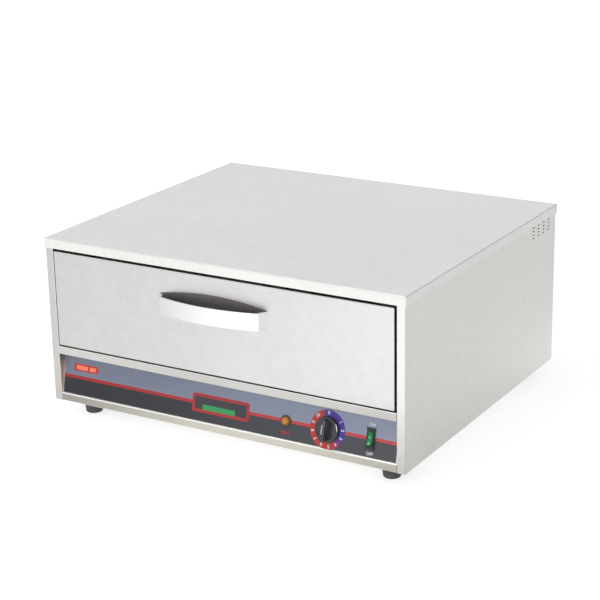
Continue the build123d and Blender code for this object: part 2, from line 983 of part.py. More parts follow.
with BuildPart() as wiring:
    tube(
        [
            (live_x, inlet_y, block_level),
            (live_x, live_lead.Y + heater_lead, block_level),
            live_lead,
            on_panel(switch_x, control_line - contact_offset, -switch_depth - joint_gap),
        ],
        wire_bend,
        wire_radius,
    )
    tube(
        [
            on_panel(switch_x, control_line + contact_offset, -switch_depth - joint_gap),
            on_panel(switch_x, control_line + contact_offset, -lead_back),
            on_panel(dial_x + 2 * contact_offset, control_line + contact_offset, -lead_back),
            on_panel(dial_x + 2 * contact_offset, control_line + contact_offset, -contact_back - joint_gap),
        ],
        wire_bend,
        wire_radius,
    )
    tube(
        [
            on_panel(dial_x - 2 * contact_offset, control_line + contact_offset, -contact_back - joint_gap),
            feed_lead,
            (element_outer, feed_lead.Y, element_wire_level),
            (element_outer, element_front, element_wire_level),
            (element_outer, element_front, element_end),
        ],
        wire_bend,
        wire_radius,
    )
    tube(
        [
            (neutral_x, inlet_y, block_level),
            (neutral_x, element_front + neutral_run, block_level),
            (element_inner, element_front + heater_lead / 2, element_wire_level),
            (element_inner, element_front, element_wire_level),
            (element_inner, element_front, element_end),
        ],
        wire_bend,
        wire_radius,
    )
    tube(
        [
            (lamp_wire_x, inlet_y, block_level),
            (lamp_wire_x, element_front + lamp_run, block_level),
            on_panel(lamp_x - lamp_contact, control_line, -lamp_barrel_length - 2 * wire_lead),
            on_panel(lamp_x - lamp_contact, control_line, -lamp_barrel_length - joint_gap),
        ],
        wire_bend,
        wire_radius,
    )
    tube(
        [
            on_panel(lamp_x + lamp_contact, control_line, -lamp_barrel_length - joint_gap),
            on_panel(lamp_x + lamp_contact, control_line, -lead_back),
            on_panel(dial_x - 2 * contact_offset, control_line - contact_offset, -lead_back),
            on_panel(dial_x - 2 * contact_offset, control_line - contact_offset, -contact_back - joint_gap),
        ],
        wire_bend,
        wire_radius,
    )

# Rubber feet and their screws
with BuildPart() as feet:
    with Locations(*[(x, y, 0) for x, y in foot_spots]):
        Cone(
            foot_tip_radius,
            foot_top_radius,
            foot_height + sheet,
            align=(Align.CENTER, Align.CENTER, Align.MIN),
        )
    fillet(feet.edges().group_by(Axis.Z)[0], foot_edge)
    post(foot_spots, 0, foot_bore_radius, foot_bore_depth, Mode.SUBTRACT)
    post(foot_spots, 0, foot_screw_radius + screw_clearance, foot_height + sheet, Mode.SUBTRACT)

with BuildPart() as foot_screws:
    head_bottom = foot_bore_depth - foot_screw_head_height
    post(foot_spots, head_bottom, foot_screw_head_radius, foot_screw_head_height)
    post(foot_spots, foot_bore_depth, foot_screw_radius, base_top + foot_screw_spare - foot_bore_depth)

# Casing screws
with BuildPart() as cover_screws:
    pan_screws(rear_face.offset(cover_reach), cover_screw_spots, cover_reach + 2 * sheet + screw_tail)

with BuildPart() as rear_panel_screws:
    pan_screws(rear_face, rear_screw_spots, 2 * sheet + screw_tail)

with BuildPart() as base_screws:
    pan_screws(
        Plane((0, 0, casing_bottom), x_dir=(1, 0, 0), z_dir=(0, 0, -1)),
        [(x, -y) for x, y in base_screw_spots],
        2 * sheet + screw_tail,
    )

# Roller slides: a channel on each chamber wall with a stop at each end of the rear roller's run,
# and an angle on each side of the drawer
with BuildPart() as right_cabinet_rail:
    with BuildSketch(Plane.XZ.offset(-rail_back)):
        with BuildLine():
            FilletPolyline(
                (opening_half - rail_lip, slide_bottom),
                (opening_half, slide_bottom),
                (opening_half, slide_top),
                (opening_half - rail_lip, slide_top),
                radius=rail_fold,
            )
            offset(amount=rail_sheet, side=Side.LEFT)
        make_face()
    extrude(amount=rail_back - rail_front)
    front_axle = Plane.YZ.offset(opening_half - rail_sheet)
    front_axle_length = roller_side_gap + roller_width + axle_end_play
    front_axle_spot = [(front_roller_y, roller_level)]
    rod(front_axle, front_axle_spot, axle_radius, -front_axle_length)
    rod(front_axle.offset(-front_axle_length), front_axle_spot, axle_head_radius, -axle_head_height)
    open_stop = rear_roller_y - drawer_travel - stop_reach
    shut_stop = rear_roller_y + stop_reach
    for stop in ((open_stop - stop_length, open_stop), (shut_stop, shut_stop + stop_length)):
        block(
            (opening_half - rail_lip, opening_half - rail_sheet / 2),
            stop,
            (slide_bottom + rail_sheet / 2, slide_bottom + rail_sheet + stop_height),
        )

with BuildPart() as left_cabinet_rail:
    mirror(right_cabinet_rail.part, about=Plane.YZ)

with BuildPart() as right_front_roller:
    with BuildSketch(front_axle.offset(-roller_side_gap)):
        with Locations((front_roller_y, roller_level)):
            Circle(roller_radius)
            Circle(axle_radius + axle_clearance, mode=Mode.SUBTRACT)
    extrude(amount=-roller_width)
    rims = right_front_roller.edges().filter_by(GeomType.CIRCLE).group_by(SortBy.RADIUS)[-1]
    fillet(rims, roller_edge)

with BuildPart() as left_front_roller:
    mirror(right_front_roller.part, about=Plane.YZ)

with BuildPart() as right_drawer_rail:
    with BuildSketch(Plane.XZ.offset(-drawer_back)):
        with BuildLine():
            FilletPolyline(
                (drawer_half, slide_bottom),
                (drawer_half, drawer_flange_bottom + rail_sheet),
                (drawer_half + drawer_rail_flange, drawer_flange_bottom + rail_sheet),
                radius=rail_fold,
            )
            offset(amount=rail_sheet, side=Side.RIGHT)
        make_face()
    extrude(amount=drawer_back - drawer_front_back)
    rear_axle = Plane.YZ.offset(drawer_half + rail_sheet)
    rear_axle_length = roller_side_gap + roller_width + axle_end_play
    rear_axle_spot = [(rear_roller_y, roller_level)]
    rod(rear_axle, rear_axle_spot, axle_radius, rear_axle_length)
    rod(rear_axle.offset(rear_axle_length), rear_axle_spot, axle_head_radius, axle_head_height)

with BuildPart() as left_drawer_rail:
    mirror(right_drawer_rail.part, about=Plane.YZ)

with BuildPart() as right_rear_roller:
    with BuildSketch(rear_axle.offset(roller_side_gap)):
        with Locations((rear_roller_y, roller_level)):
            Circle(roller_radius)
            Circle(axle_radius + axle_clearance, mode=Mode.SUBTRACT)
    extrude(amount=roller_width)
    rims = right_rear_roller.edges().filter_by(GeomType.CIRCLE).group_by(SortBy.RADIUS)[-1]
    fillet(rims, roller_edge)

with BuildPart() as left_rear_roller:
    mirror(right_rear_roller.part, about=Plane.YZ)

# Drawer
with BuildPart() as drawer_front:
    block(
        (drawer_front_left, drawer_front_right),
        (front, drawer_front_back),
        (drawer_front_bottom, drawer_front_top),
    )
    fillet(drawer_front.edges().filter_by(Axis.Y), fold_radius)
    fillet(drawer_front.faces().sort_by(Axis.Y)[0].edges(), fold_radius)
    offset(amount=-sheet, openings=drawer_front.faces().sort_by(Axis.Y)[-1])
    rod(skin_inside, handle_screw_spots, screw_radius + screw_clearance, -sheet, Mode.SUBTRACT)

with BuildPart() as drawer_front_liner:
    block(
        (liner_left, liner_right),
        (drawer_front_back - sheet, drawer_front_back),
        (liner_bottom, liner_top),
    )

with BuildPart() as drawer_front_insulation:
    block(
        (liner_left, liner_right),
        (front + sheet, drawer_front_back - sheet),
        (liner_bottom, liner_top),
    )
    rod(
        skin_inside,
        handle_screw_spots,
        screw_head_radius + handle_screw_room,
        screw_head_height + handle_screw_room,
        Mode.SUBTRACT,
    )

with BuildPart() as drawer_frame:
    with BuildSketch(Plane.XY.offset(drawer_bottom_level)):
        with BuildLine():
            FilletPolyline(
                (drawer_half, drawer_front_back),
                (drawer_half, drawer_back),
                (-drawer_half, drawer_back),
                (-drawer_half, drawer_front_back),
                radius=drawer_corner,
            )
            offset(amount=sheet, side=Side.LEFT)
        make_face()
    extrude(amount=drawer_top - drawer_bottom_level)
    with BuildSketch(Plane.XY.offset(drawer_top)):
        with BuildLine():
            FilletPolyline(
                (drawer_half + drawer_rim, drawer_front_back),
                (drawer_half + drawer_rim, drawer_back + drawer_rim),
                (-drawer_half - drawer_rim, drawer_back + drawer_rim),
                (-drawer_half - drawer_rim, drawer_front_back),
                radius=drawer_corner + drawer_rim,
            )
            offset(amount=drawer_rim + sheet / 2, side=Side.LEFT)
        make_face()
    extrude(amount=-sheet)

with BuildPart() as drawer_bottom:
    with BuildSketch(Plane.XY.offset(drawer_bottom_level)) as bottom_outline:
        bottom_width = 2 * (drawer_half - sheet)
        bottom_depth = drawer_back - sheet - drawer_front_back
        with Locations((0, drawer_front_back + bottom_depth / 2)):
            Rectangle(bottom_width, bottom_depth)
        fillet(bottom_outline.vertices().group_by(Axis.Y)[-1], drawer_corner - sheet)
        columns = int((bottom_width - 2 * drawer_hole_margin) // drawer_hole_pitch) + 1
        rows = int((bottom_depth - 2 * drawer_hole_margin) // drawer_hole_pitch) + 1
        with Locations((0, drawer_front_back + bottom_depth / 2)):
            with GridLocations(drawer_hole_pitch, drawer_hole_pitch, columns, rows):
                Circle(drawer_hole_radius, mode=Mode.SUBTRACT)
    extrude(amount=sheet)

# Handle
with BuildPart() as handle_bow:
    with BuildSketch(Plane((handle_shift, 0, handle_bottom))):
        with BuildSketch() as bow_outside:
            corner_half = handle_half - handle_end_lean
            outer_end = front - handle_end_reach
            with BuildLine():
                Polyline(
                    (-corner_half, outer_end),
                    (-handle_half, front),
                    (handle_half, front),
                    (corner_half, outer_end),
                )
                ThreePointArc(
                    (-corner_half, outer_end),
                    (0, front - handle_reach),
                    (corner_half, outer_end),
                )
            make_face()
            fillet(bow_outside.vertices().group_by(Axis.Y)[0], handle_corner)
        with BuildSketch(mode=Mode.SUBTRACT) as bow_inside:
            inner_half = handle_boss_outside
            inner_corner_half = inner_half - handle_end_lean
            inner_end = outer_end + handle_wall
            with BuildLine():
                Polyline(
                    (-inner_corner_half, inner_end),
                    (-inner_half, front),
                    (inner_half, front),
                    (inner_corner_half, inner_end),
                )
                ThreePointArc(
                    (-inner_corner_half, inner_end),
                    (0, front - handle_reach + handle_wall),
                    (inner_corner_half, inner_end),
                )
            make_face()
            fillet(bow_inside.vertices().group_by(Axis.Y)[0], handle_inner_corner)
    extrude(amount=handle_height)
    bow_rims = handle_bow.faces().filter_by(Plane.XY).edges()
    fillet(bow_rims.filter_by_position(Axis.Y, front - handle_reach, handle_seat - handle_edge), handle_edge)
    for boss_left in (-handle_boss_outside, handle_boss_inside):
        block(
            (handle_shift + boss_left, handle_shift + boss_left + handle_boss_width),
            (handle_seat - handle_screw_depth - handle_boss_cover, front),
            (handle_centre - handle_boss_height / 2, handle_centre + handle_boss_height / 2),
        )
    pocket_half = backplate_half + backplate_clearance
    block(
        (handle_shift - pocket_half, handle_shift + pocket_half),
        (handle_seat, front),
        (handle_bottom, handle_top),
        Mode.SUBTRACT,
    )
    rod(
        skin_inside.offset(-sheet - backplate_thickness),
        handle_screw_spots,
        screw_radius + screw_clearance,
        -handle_screw_depth,
        Mode.SUBTRACT,
    )

with BuildPart() as handle_backplate:
    with BuildSketch(Plane((handle_shift, front, 0), z_dir=(0, -1, 0), x_dir=(1, 0, 0))):
        with BuildLine():
            wing_half = handle_half + backplate_wing
            wing_level = handle_top + backplate_shoulder
            neck_level = handle_top + 2 * backplate_clearance
            plate_bottom = handle_bottom + backplate_inset
            Polyline(
                (wing_half, wing_level),
                (backplate_half, neck_level),
                (backplate_half, plate_bottom),
                (-backplate_half, plate_bottom),
                (-backplate_half, neck_level),
                (-wing_half, wing_level),
            )
            ThreePointArc(
                (-wing_half, wing_level),
                (0, handle_top + backplate_crown),
                (wing_half, wing_level),
            )
        make_face()
    extrude(amount=backplate_thickness)
    rod(
        skin_inside.offset(-sheet),
        handle_screw_spots,
        screw_radius + screw_clearance,
        -backplate_thickness,
        Mode.SUBTRACT,
    )

with BuildPart() as handle_screws:
    handle_screw_length = sheet + backplate_thickness + handle_screw_depth - joint_gap
    pan_screws(skin_inside, handle_screw_spots, handle_screw_length)

pieces = {
    "top_cover": top_cover,
    "left_side_panel": left_side_panel,
    "right_side_panel": right_side_panel,
    "base_plate": base_plate,
    "rear_panel": rear_panel,
    "bottom_rail": bottom_rail,
    "middle_rail": middle_rail,
    "top_rail": top_rail,
    "control_panel": control_panel,
    "control_overlay": control_overlay,
    "chamber_floor": chamber_floor,
    "chamber_ceiling": chamber_ceiling,
    "chamber_rear_wall": chamber_rear_wall,
    "chamber_right_wall": chamber_right_wall,
    "chamber_left_wall": chamber_left_wall,
    "right_insulation": right_insulation,
    "left_insulation": left_insulation,
    "rear_insulation": rear_insulation,
    "top_insulation": top_insulation,
    "heat_shield": heat_shield,
    "heating_element": heating_element,
    "element_clips": element_clips,
    "element_bushings": element_bushings,
    "thermostat_body": thermostat_body,
    "thermostat_nut": thermostat_nut,
    "thermostat_shaft": thermostat_shaft,
    "thermostat_probe": thermostat_probe,
    "probe_clips": probe_clips,
    "knob": knob,
    "indicator_housing": indicator_housing,
    "indicator_lens": indicator_lens,
    "switch_housing": switch_housing,
    "switch_rocker": switch_rocker,
    "terminal_block": terminal_block,
    "cable_gland": cable_gland,
    "gland_nut": gland_nut,
    "earth_stud": earth_stud,
    "wiring": wiring,
    "feet": feet,
    "foot_screws": foot_screws,
    "cover_screws": cover_screws,
    "rear_panel_screws": rear_panel_screws,
    "base_screws": base_screws,
    "right_cabinet_rail": right_cabinet_rail,
    "left_cabinet_rail": left_cabinet_rail,
    "right_front_roller": right_front_roller,
    "left_front_roller": left_front_roller,
    "right_drawer_rail": right_drawer_rail,
    "left_drawer_rail": left_drawer_rail,
    "right_rear_roller": right_rear_roller,
    "left_rear_roller": left_rear_roller,
    "drawer_front": drawer_front,
    "drawer_front_liner": drawer_front_liner,
    "drawer_front_insulation": drawer_front_insulation,
    "drawer_frame": drawer_frame,
    "drawer_bottom": drawer_bottom,
    "handle_bow": handle_bow,
    "handle_backplate": handle_backplate,
    "handle_screws": handle_screws,
}

os.makedirs("parts", exist_ok=True)
for name, piece in pieces.items():
    piece.part.label = name
    export_step(piece.part, f"parts/{name}.step")

print(f"drawer travel {drawer_travel:.1f} mm, roller turns {drawer_travel / (2 * pi * roller_radius):.2f}")
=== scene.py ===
# %% [markdown]
# # A drawer bun warmer, dressed in Blender
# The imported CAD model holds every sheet, roller and screw at its true size. This lesson gives it the looks:
# steel with a brushed grain, a printed control film, moulded plastic, and small fittings that are modelled
# again because their shape carries more than the CAD solid shows.

import json
import math

import bmesh
import bpy
from mathutils import Matrix, Vector


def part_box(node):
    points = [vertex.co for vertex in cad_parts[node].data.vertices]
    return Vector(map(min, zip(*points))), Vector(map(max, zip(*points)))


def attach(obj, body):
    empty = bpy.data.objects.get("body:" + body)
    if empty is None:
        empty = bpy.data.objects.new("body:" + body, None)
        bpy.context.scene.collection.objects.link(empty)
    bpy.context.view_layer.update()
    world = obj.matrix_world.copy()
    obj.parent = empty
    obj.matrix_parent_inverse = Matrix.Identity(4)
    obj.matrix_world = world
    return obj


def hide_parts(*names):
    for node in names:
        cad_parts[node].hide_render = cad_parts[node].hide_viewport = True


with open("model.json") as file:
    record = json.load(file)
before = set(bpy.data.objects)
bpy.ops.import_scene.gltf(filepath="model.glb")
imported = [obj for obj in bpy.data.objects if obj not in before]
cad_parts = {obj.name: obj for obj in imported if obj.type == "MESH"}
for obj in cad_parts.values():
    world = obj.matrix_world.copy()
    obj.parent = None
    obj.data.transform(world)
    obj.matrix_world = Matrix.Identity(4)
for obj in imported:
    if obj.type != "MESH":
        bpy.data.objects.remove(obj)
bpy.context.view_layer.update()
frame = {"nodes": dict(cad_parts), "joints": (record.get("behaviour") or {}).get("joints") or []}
nodes = frame["nodes"]

# %% [markdown]
# ## Camera
# The photograph was taken from the right and a little above. Its vanishing lines give the camera's place,
# its turn and the lens, so a point of the model lands on the same pixel as in the photograph. A camera that
# is only aimed at a point stays upright, so the axes are worked out here: the small roll straightens the
# uprights.

# %% Camera at the photograph's place
camera_place = Vector((1.253, -2.120, 0.977))
camera_turn = math.radians(30.83)
camera_rise = math.radians(18.51)
camera_roll = math.radians(-1.10)
sensor = 36.0
focal_pixels = 1728
picture_pixels = 600

towards_camera = Vector((
    math.sin(camera_turn) * math.cos(camera_rise),
    -math.cos(camera_turn) * math.cos(camera_rise),
    math.sin(camera_rise),
))
level_right = (-towards_camera).cross(Vector((0, 0, 1))).normalized()
level_up = level_right.cross(-towards_camera)
image_right = math.cos(camera_roll) * level_right + math.sin(camera_roll) * level_up
image_up = math.cos(camera_roll) * level_up - math.sin(camera_roll) * level_right
camera_axes = Matrix((image_right, image_up, towards_camera)).transposed()

bpy.ops.object.camera_add(location=camera_place, rotation=camera_axes.to_euler())
camera = bpy.context.object
camera.name = "photo_camera"
camera.data.sensor_width = sensor
camera.data.lens = sensor * focal_pixels / picture_pixels
bpy.context.scene.camera = camera
print("camera", tuple(round(value, 3) for value in camera.location), "lens", round(camera.data.lens, 1))

# %% [markdown]
# ## Shader helpers
# A finish is a small network of nodes. Adding them one by one hides the idea, so three helpers do it.
# `Socket` stands for the output of a node and turns Python's operators into Math nodes. `Network` fills a
# node tree: it adds any node from its type, its settings and its inputs. `Finish` is a network that belongs
# to a material and feeds its shader.


# %% Sockets that can be added and multiplied
class Socket:
    """The output of a shader node; an operator on it adds a Math node."""

    def __init__(self, network, output):
        self.network = network
        self.output = output

    def __add__(self, other):
        return self.network.math("ADD", self, other)

    def __radd__(self, other):
        return self.network.math("ADD", other, self)

    def __sub__(self, other):
        return self.network.math("SUBTRACT", self, other)

    def __rsub__(self, other):
        return self.network.math("SUBTRACT", other, self)

    def __mul__(self, other):
        return self.network.math("MULTIPLY", self, other)

    def __rmul__(self, other):
        return self.network.math("MULTIPLY", other, self)

    def __truediv__(self, other):
        return self.network.math("DIVIDE", self, other)

    def __pow__(self, other):
        return self.network.math("POWER", self, other)

    def __abs__(self):
        return self.network.math("ABSOLUTE", self)

    def __gt__(self, other):
        return self.network.math("GREATER_THAN", self, other)


print("sockets ready")


# %% A network and the nodes it is made of
class Network:
    """A node tree, with one method that adds any node and short names for the usual ones."""

    def __init__(self, tree):
        self.tree = tree

    def join(self, value, socket):
        """Link a Socket, or set a number, a colour or a vector."""
        if isinstance(value, Socket):
            self.tree.links.new(value.output, socket)
        elif socket.type == "RGBA":
            socket.default_value = (*value, 1.0)
        else:
            socket.default_value = value

    def node(self, kind, settings=None, inputs=None, output=0):
        """Add a node: settings first (a ramp's stops among them), then the values or links of its inputs."""
        made = self.tree.nodes.new(kind)
        for key, value in (settings or {}).items():
            if key == "stops":
                ramp = made.color_ramp
                while len(ramp.elements) < len(value):
                    ramp.elements.new(1.0)
                for element, (place, colour) in zip(ramp.elements, value):
                    element.position = place
                    element.color = (*colour, 1.0)
            else:
                setattr(made, key, value)
        for key, value in (inputs or {}).items():
            self.join(value, made.inputs[key])
        return Socket(self, made.outputs[output])

    def math(self, operation, *values):
        return self.node("ShaderNodeMath", {"operation": operation}, dict(enumerate(values)))

    def vector(self, operation, *values, output="Vector"):
        return self.node("ShaderNodeVectorMath", {"operation": operation}, dict(enumerate(values)), output)

    def place(self):
        return self.node("ShaderNodeTexCoord", output="Object")

    def facing(self, kind="True Normal"):
        """The direction in which the flat face looks, or the smoothed surface with kind Normal."""
        return self.node("ShaderNodeNewGeometry", output=kind)

    def ray(self, kind):
        return self.node("ShaderNodeLightPath", output=kind)

    def mirror_ray(self):
        """1 for a ray that comes from a mirror or through a clear piece."""
        return self.math("MAXIMUM", self.ray("Is Glossy Ray"), self.ray("Is Transmission Ray"))

    def part(self, vector, axis):
        return self.node("ShaderNodeSeparateXYZ", inputs={0: vector}, output=axis)

    def along(self, vector, direction):
        return self.vector("DOT_PRODUCT", vector, direction, output="Value")

    def stretched(self, vector, scale):
        return self.node("ShaderNodeMapping", {"vector_type": "TEXTURE"}, {"Vector": vector, "Scale": scale})

    def noise(self, vector, scale, detail=2.0, roughness=0.5, distortion=0.0):
        return self.node(
            "ShaderNodeTexNoise",
            inputs={
                "Vector": vector, "Scale": scale, "Detail": detail,
                "Roughness": roughness, "Distortion": distortion,
            },
        )

    def fade(self, value, start, end):
        """0 before start, 1 after end, smooth between."""
        return self.node(
            "ShaderNodeMapRange", {"interpolation_type": "SMOOTHSTEP"},
            {"Value": value, "From Min": start, "From Max": end},
        )

    def band(self, value, rise, fall):
        """A rise and a fall, each a pair of start and end: 1 between them and 0 outside."""
        return self.fade(value, *rise) * self.fade(value, *fall)

    def mix(self, factor, first, second):
        return self.node("ShaderNodeMix", {"data_type": "RGBA"}, {0: factor, 6: first, 7: second}, 2)

    def shade(self, colour, strength):
        """A colour made lighter or darker by a changing strength."""
        return self.node("ShaderNodeVectorMath", {"operation": "SCALE"}, {0: colour, "Scale": strength})

    def ramp(self, value, stops):
        return self.node("ShaderNodeValToRGB", {"stops": stops}, {0: value})

    def bump(self, height, depth, strength):
        inputs = {"Height": height, "Distance": depth, "Strength": strength}
        return self.node("ShaderNodeBump", inputs=inputs)


print("networks ready")


# %% A finish is a network that feeds a shader
class Finish(Network):
    """A material whose network feeds its Principled shader."""

    def __init__(self, name, **constants):
        self.material = bpy.data.materials.new(name)
        self.material.use_nodes = True
        super().__init__(self.material.node_tree)
        self.shader = self.tree.nodes["Principled BSDF"]
        self.feed(**constants)

    def feed(self, **inputs):
        """Send sockets or values to the shader: feed(Base_Color=..., Roughness=...)."""
        for key, value in inputs.items():
            self.join(value, self.shader.inputs[key.replace("_", " ")])

    def fed(self, name):
        """What the shader is fed already, so that a later step can lay something over it."""
        return Socket(self, self.shader.inputs[name].links[0].from_socket)


print("finishes ready")

# %% [markdown]
# ## Studio floor
# The photograph has a plain white sweep. A floor that only glows would lose the soft shadow of the feet, so
# it is a matt surface with a glow added, which the camera and mirror rays see and which lights nothing
# else.
#
# Steel shows what lies around it, and a studio is never even. Cards and lamps could be modelled, but here
# the floor itself glows more or less for mirror rays. It is dimmer to the left, as if a grey card lay
# there, so the front darkens from right to left. It is brighter far out in front, and dimmer in a strip
# close to the front, where the casing keeps the light off, so the lowest rail is darker. Beside the right
# side it is brighter at the far half and dimmer at the near corner, and the side skin shows both.

# %% Floor
floor_size = 24.0
bpy.ops.object.select_all(action="DESELECT")
bpy.ops.mesh.primitive_plane_add(size=floor_size, location=(0, 0, 0))
floor = bpy.context.object
floor.name = "studio_floor"
print("floor", floor_size, "m wide")

# %% What mirrors see in the floor
glow_left = 0.30
glow_right = 0.75
far_out_gain = 0.14
far_half_gain = 0.26
near_corner_loss = 0.14
strip_loss = 0.22
strip_loss_right = 0.40

sweep = Finish("studio_sweep")
place = sweep.place()
across = sweep.part(place, "X")
inwards = sweep.part(place, "Y")
far_out = sweep.fade(inwards, -0.50, -0.85)
beside = sweep.band(across, rise=(0.29, 0.31), fall=(0.45, 0.34))
far_half = sweep.fade(inwards, 0.10, 0.34)
near_corner = sweep.band(inwards, rise=(-0.30, -0.20), fall=(0.16, -0.12))
mirrored = glow_left + sweep.fade(across, -0.85, 0.15) * (glow_right - glow_left) + far_out * far_out_gain
mirrored = mirrored + beside * (far_half * far_half_gain - near_corner * near_corner_loss)

strip_in_front = sweep.band(inwards, rise=(-0.42, -0.30), fall=(-0.20, -0.25))
shaded = strip_in_front * (strip_loss + sweep.fade(across, 0.10, 0.30) * strip_loss_right)
mirrored = mirrored * (1.0 - shaded)
print("floor in mirrors from", glow_left, "at the left to", glow_right, "at the right")

# %% White for the camera, matt for the shadow
glow_near = 0.62
paper_dark = (0.76, 0.76, 0.755)
paper_light = (0.8, 0.8, 0.795)
away = sweep.vector("LENGTH", place, output="Value")
shown = glow_near + sweep.fade(away, 0.6, 2.2) * (1.0 - glow_near)
strength = sweep.ray("Is Camera Ray") * shown + sweep.mirror_ray() * mirrored
glow = sweep.node("ShaderNodeEmission", inputs={"Strength": strength})
paper = sweep.mix(sweep.noise(place, 3.0, 3.0), paper_dark, paper_light)
matt = sweep.node("ShaderNodeBsdfDiffuse", inputs={"Color": paper})
both = sweep.node("ShaderNodeAddShader", inputs={0: matt, 1: glow})
sweep.join(both, sweep.tree.nodes["Material Output"].inputs["Surface"])
floor.data.materials.append(sweep.material)
print("floor glows", glow_near, "near the casing and 1.0 far from it")

# %% [markdown]
# ## Room and lamps
# The world is white to the camera and to mirror rays, and dimmer to all others, so the steel isn't flooded
# with light. Two soft boxes do the rest, one overhead and one in front on the left. The front one would
# show in the steel as a bright patch, so mirror rays don't see it.

# %% White world for the camera and for mirrors
room_light = 0.45
world = bpy.data.worlds.new("white_room")
bpy.context.scene.world = world
world.use_nodes = True
room = Network(world.node_tree)
shows_white = room.math("MAXIMUM", room.ray("Is Camera Ray"), room.mirror_ray())
background = room.tree.nodes["Background"]
room.join((1.0, 1.0, 1.0), background.inputs["Color"])
room.join(room_light + shows_white * (1.0 - room_light), background.inputs["Strength"])
print("room light", room_light)


# %% Soft boxes
def soft_box(name, place, target, width, height, power):
    """A flat lamp that faces a point."""
    aim = (Vector(target) - Vector(place)).to_track_quat("-Z", "Y")
    bpy.ops.object.light_add(type="AREA", location=place, rotation=aim.to_euler())
    lamp = bpy.context.object
    lamp.name = name
    lamp.data.shape = "RECTANGLE"
    lamp.data.size = width
    lamp.data.size_y = height
    lamp.data.energy = power
    return lamp


soft_box("overhead_box", (-0.6, -0.8, 2.6), target=(0, 0, 0.1), width=1.6, height=1.6, power=14.0)
front_box = soft_box(
    "front_box", (-0.7, -2.6, 1.0), target=(0.15, -0.25, 0.15), width=2.6, height=1.6, power=17.0
)
front_box.visible_glossy = False
bpy.context.scene.view_settings.view_transform = "Standard"

# %% [markdown]
# ## Brushed sheet
# The casing is stainless sheet with a brushed face: long thin scratches along the width, so the sheet looks
# darker and lighter in fine lines, and mirrors are smeared. A picture of such steel would show its repeats,
# so noise that is stretched along the brushing direction draws the lines. The side skins face along X, and
# their grain runs along Y. Broad clouds and a fine mottle lie over the grain, as rolled sheet is never
# quite even.
#
# Each sheet has a tone for its top, front and side, because they meet different parts of the studio: that is
# painted light and shade in the colour. In front the tone may change towards both ends, painted light that
# falls off or grows there, and it is darker low at the right, a painted shade. A rounded fold between top and
# side is darker too, a painted shade. The two jambs beside the control panel lie in a recess: they are dull,
# and a painted shade makes them darker towards the rail above.

# %% Sheet finishes
grain_length = 0.06
grain_width = 0.0005
# the recess tones below are painted shade, darker towards the rail above
recess_roof = (0.108, 0.100)
recess_shade_fade = (0.070, 0.098)
recess_low_tone = (0.78, 0.64, 0.54)
recess_high_tone = (0.32, 0.285, 0.245)


def sheet_grain(finish, place, sideways):
    """Fine lines along the width, or along the depth on a face that looks sideways."""
    along_x = finish.noise(finish.stretched(place, (grain_length, grain_width, grain_width)), 1.0, 3.0, 0.6)
    along_y = finish.noise(finish.stretched(place, (grain_width, grain_length, grain_width)), 1.0, 3.0, 0.6)
    return along_x + (along_y - along_x) * sideways


def brushed_sheet(name, top_tone, front_tone, side_tone, left_end=0.0, right_end=0.0):
    """Sheet whose painted light and shade differ by the way it faces, and in front also towards its two ends.
    """
    finish = Finish(name, Metallic=1.0)
    place = finish.place()
    across = finish.part(place, "X")
    level = finish.part(place, "Z")
    facing = finish.facing()
    out_sideways = finish.part(facing, "X") * finish.math("SIGN", across)
    sideways = abs(out_sideways) > 0.7
    frontal = finish.fade(finish.part(facing, "Y"), -0.85, -0.99)
    # painted shade: a rounded fold between top and side is darker
    fold_shade = finish.fade(out_sideways, 0.15, 0.4) * finish.fade(finish.part(facing, "Z"), 0.15, 0.4)

    grain = sheet_grain(finish, place, sideways)
    cloud = finish.noise(place, 6.0, 4.0, 0.55, 0.4)
    mottle = finish.noise(place, 75.0, 3.0, 0.55)
    uneven = (grain - 0.5) * 0.10 + (cloud - 0.5) * 0.14 + (mottle - 0.5) * 0.17

    # painted light and shade: the front grows lighter or darker towards both ends, and darker low at the
    # right
    ends = finish.fade(across, 0.0, -0.29) * left_end + finish.fade(across, 0.08, 0.29) * right_end
    low_right_shade = finish.fade(level, 0.135, 0.085) * finish.fade(across, 0.05, 0.28)
    in_front = finish.shade(front_tone, 1.0 + ends - low_right_shade * 0.15)
    # painted light: top, front and side each get the tone of the light they meet
    colour = finish.mix(frontal, finish.mix(sideways, top_tone, side_tone), in_front)

    # painted shade in the recess, darker towards the rail above; the added roughness is real dullness
    in_recess = finish.fade(out_sideways, -0.4, -0.8) * finish.fade(level, *recess_roof)
    painted_recess_shade = finish.mix(finish.fade(level, *recess_shade_fade), recess_low_tone, recess_high_tone)
    finish.feed(
        Base_Color=finish.shade(finish.mix(in_recess, colour, painted_recess_shade), 1.0 + uneven - fold_shade * 0.25),
        Roughness=0.36 + (grain - 0.5) * 0.16 + (cloud + mottle - 1.0) * 0.10 + in_recess * 0.3,
        Normal=finish.bump(grain, 0.00002, 0.35),
    )
    return finish


# Five copies of one steel: their tones and end drifts are painted light and shade, set to the light where
# each part lies
cover_steel = brushed_sheet(
    "cover_steel", top_tone=(0.67, 0.67, 0.665), front_tone=(0.82, 0.82, 0.795),
    side_tone=(0.56, 0.555, 0.545), left_end=0.08, right_end=-0.10,
)
casing_steel = brushed_sheet(
    "casing_steel", top_tone=(0.67, 0.67, 0.665), front_tone=(0.705, 0.705, 0.69),
    side_tone=(0.53, 0.523, 0.51), left_end=-0.10, right_end=0.06,
)
frame_steel = brushed_sheet(
    "front_rail_steel", top_tone=(0.76, 0.76, 0.74), front_tone=(0.570, 0.563, 0.546),
    side_tone=(0.645, 0.64, 0.625), left_end=0.18,
)
drawer_steel = brushed_sheet(
    "drawer_front_steel", top_tone=(0.68, 0.68, 0.68), front_tone=(0.665, 0.66, 0.66),
    side_tone=(0.68, 0.68, 0.68), right_end=0.03,
)
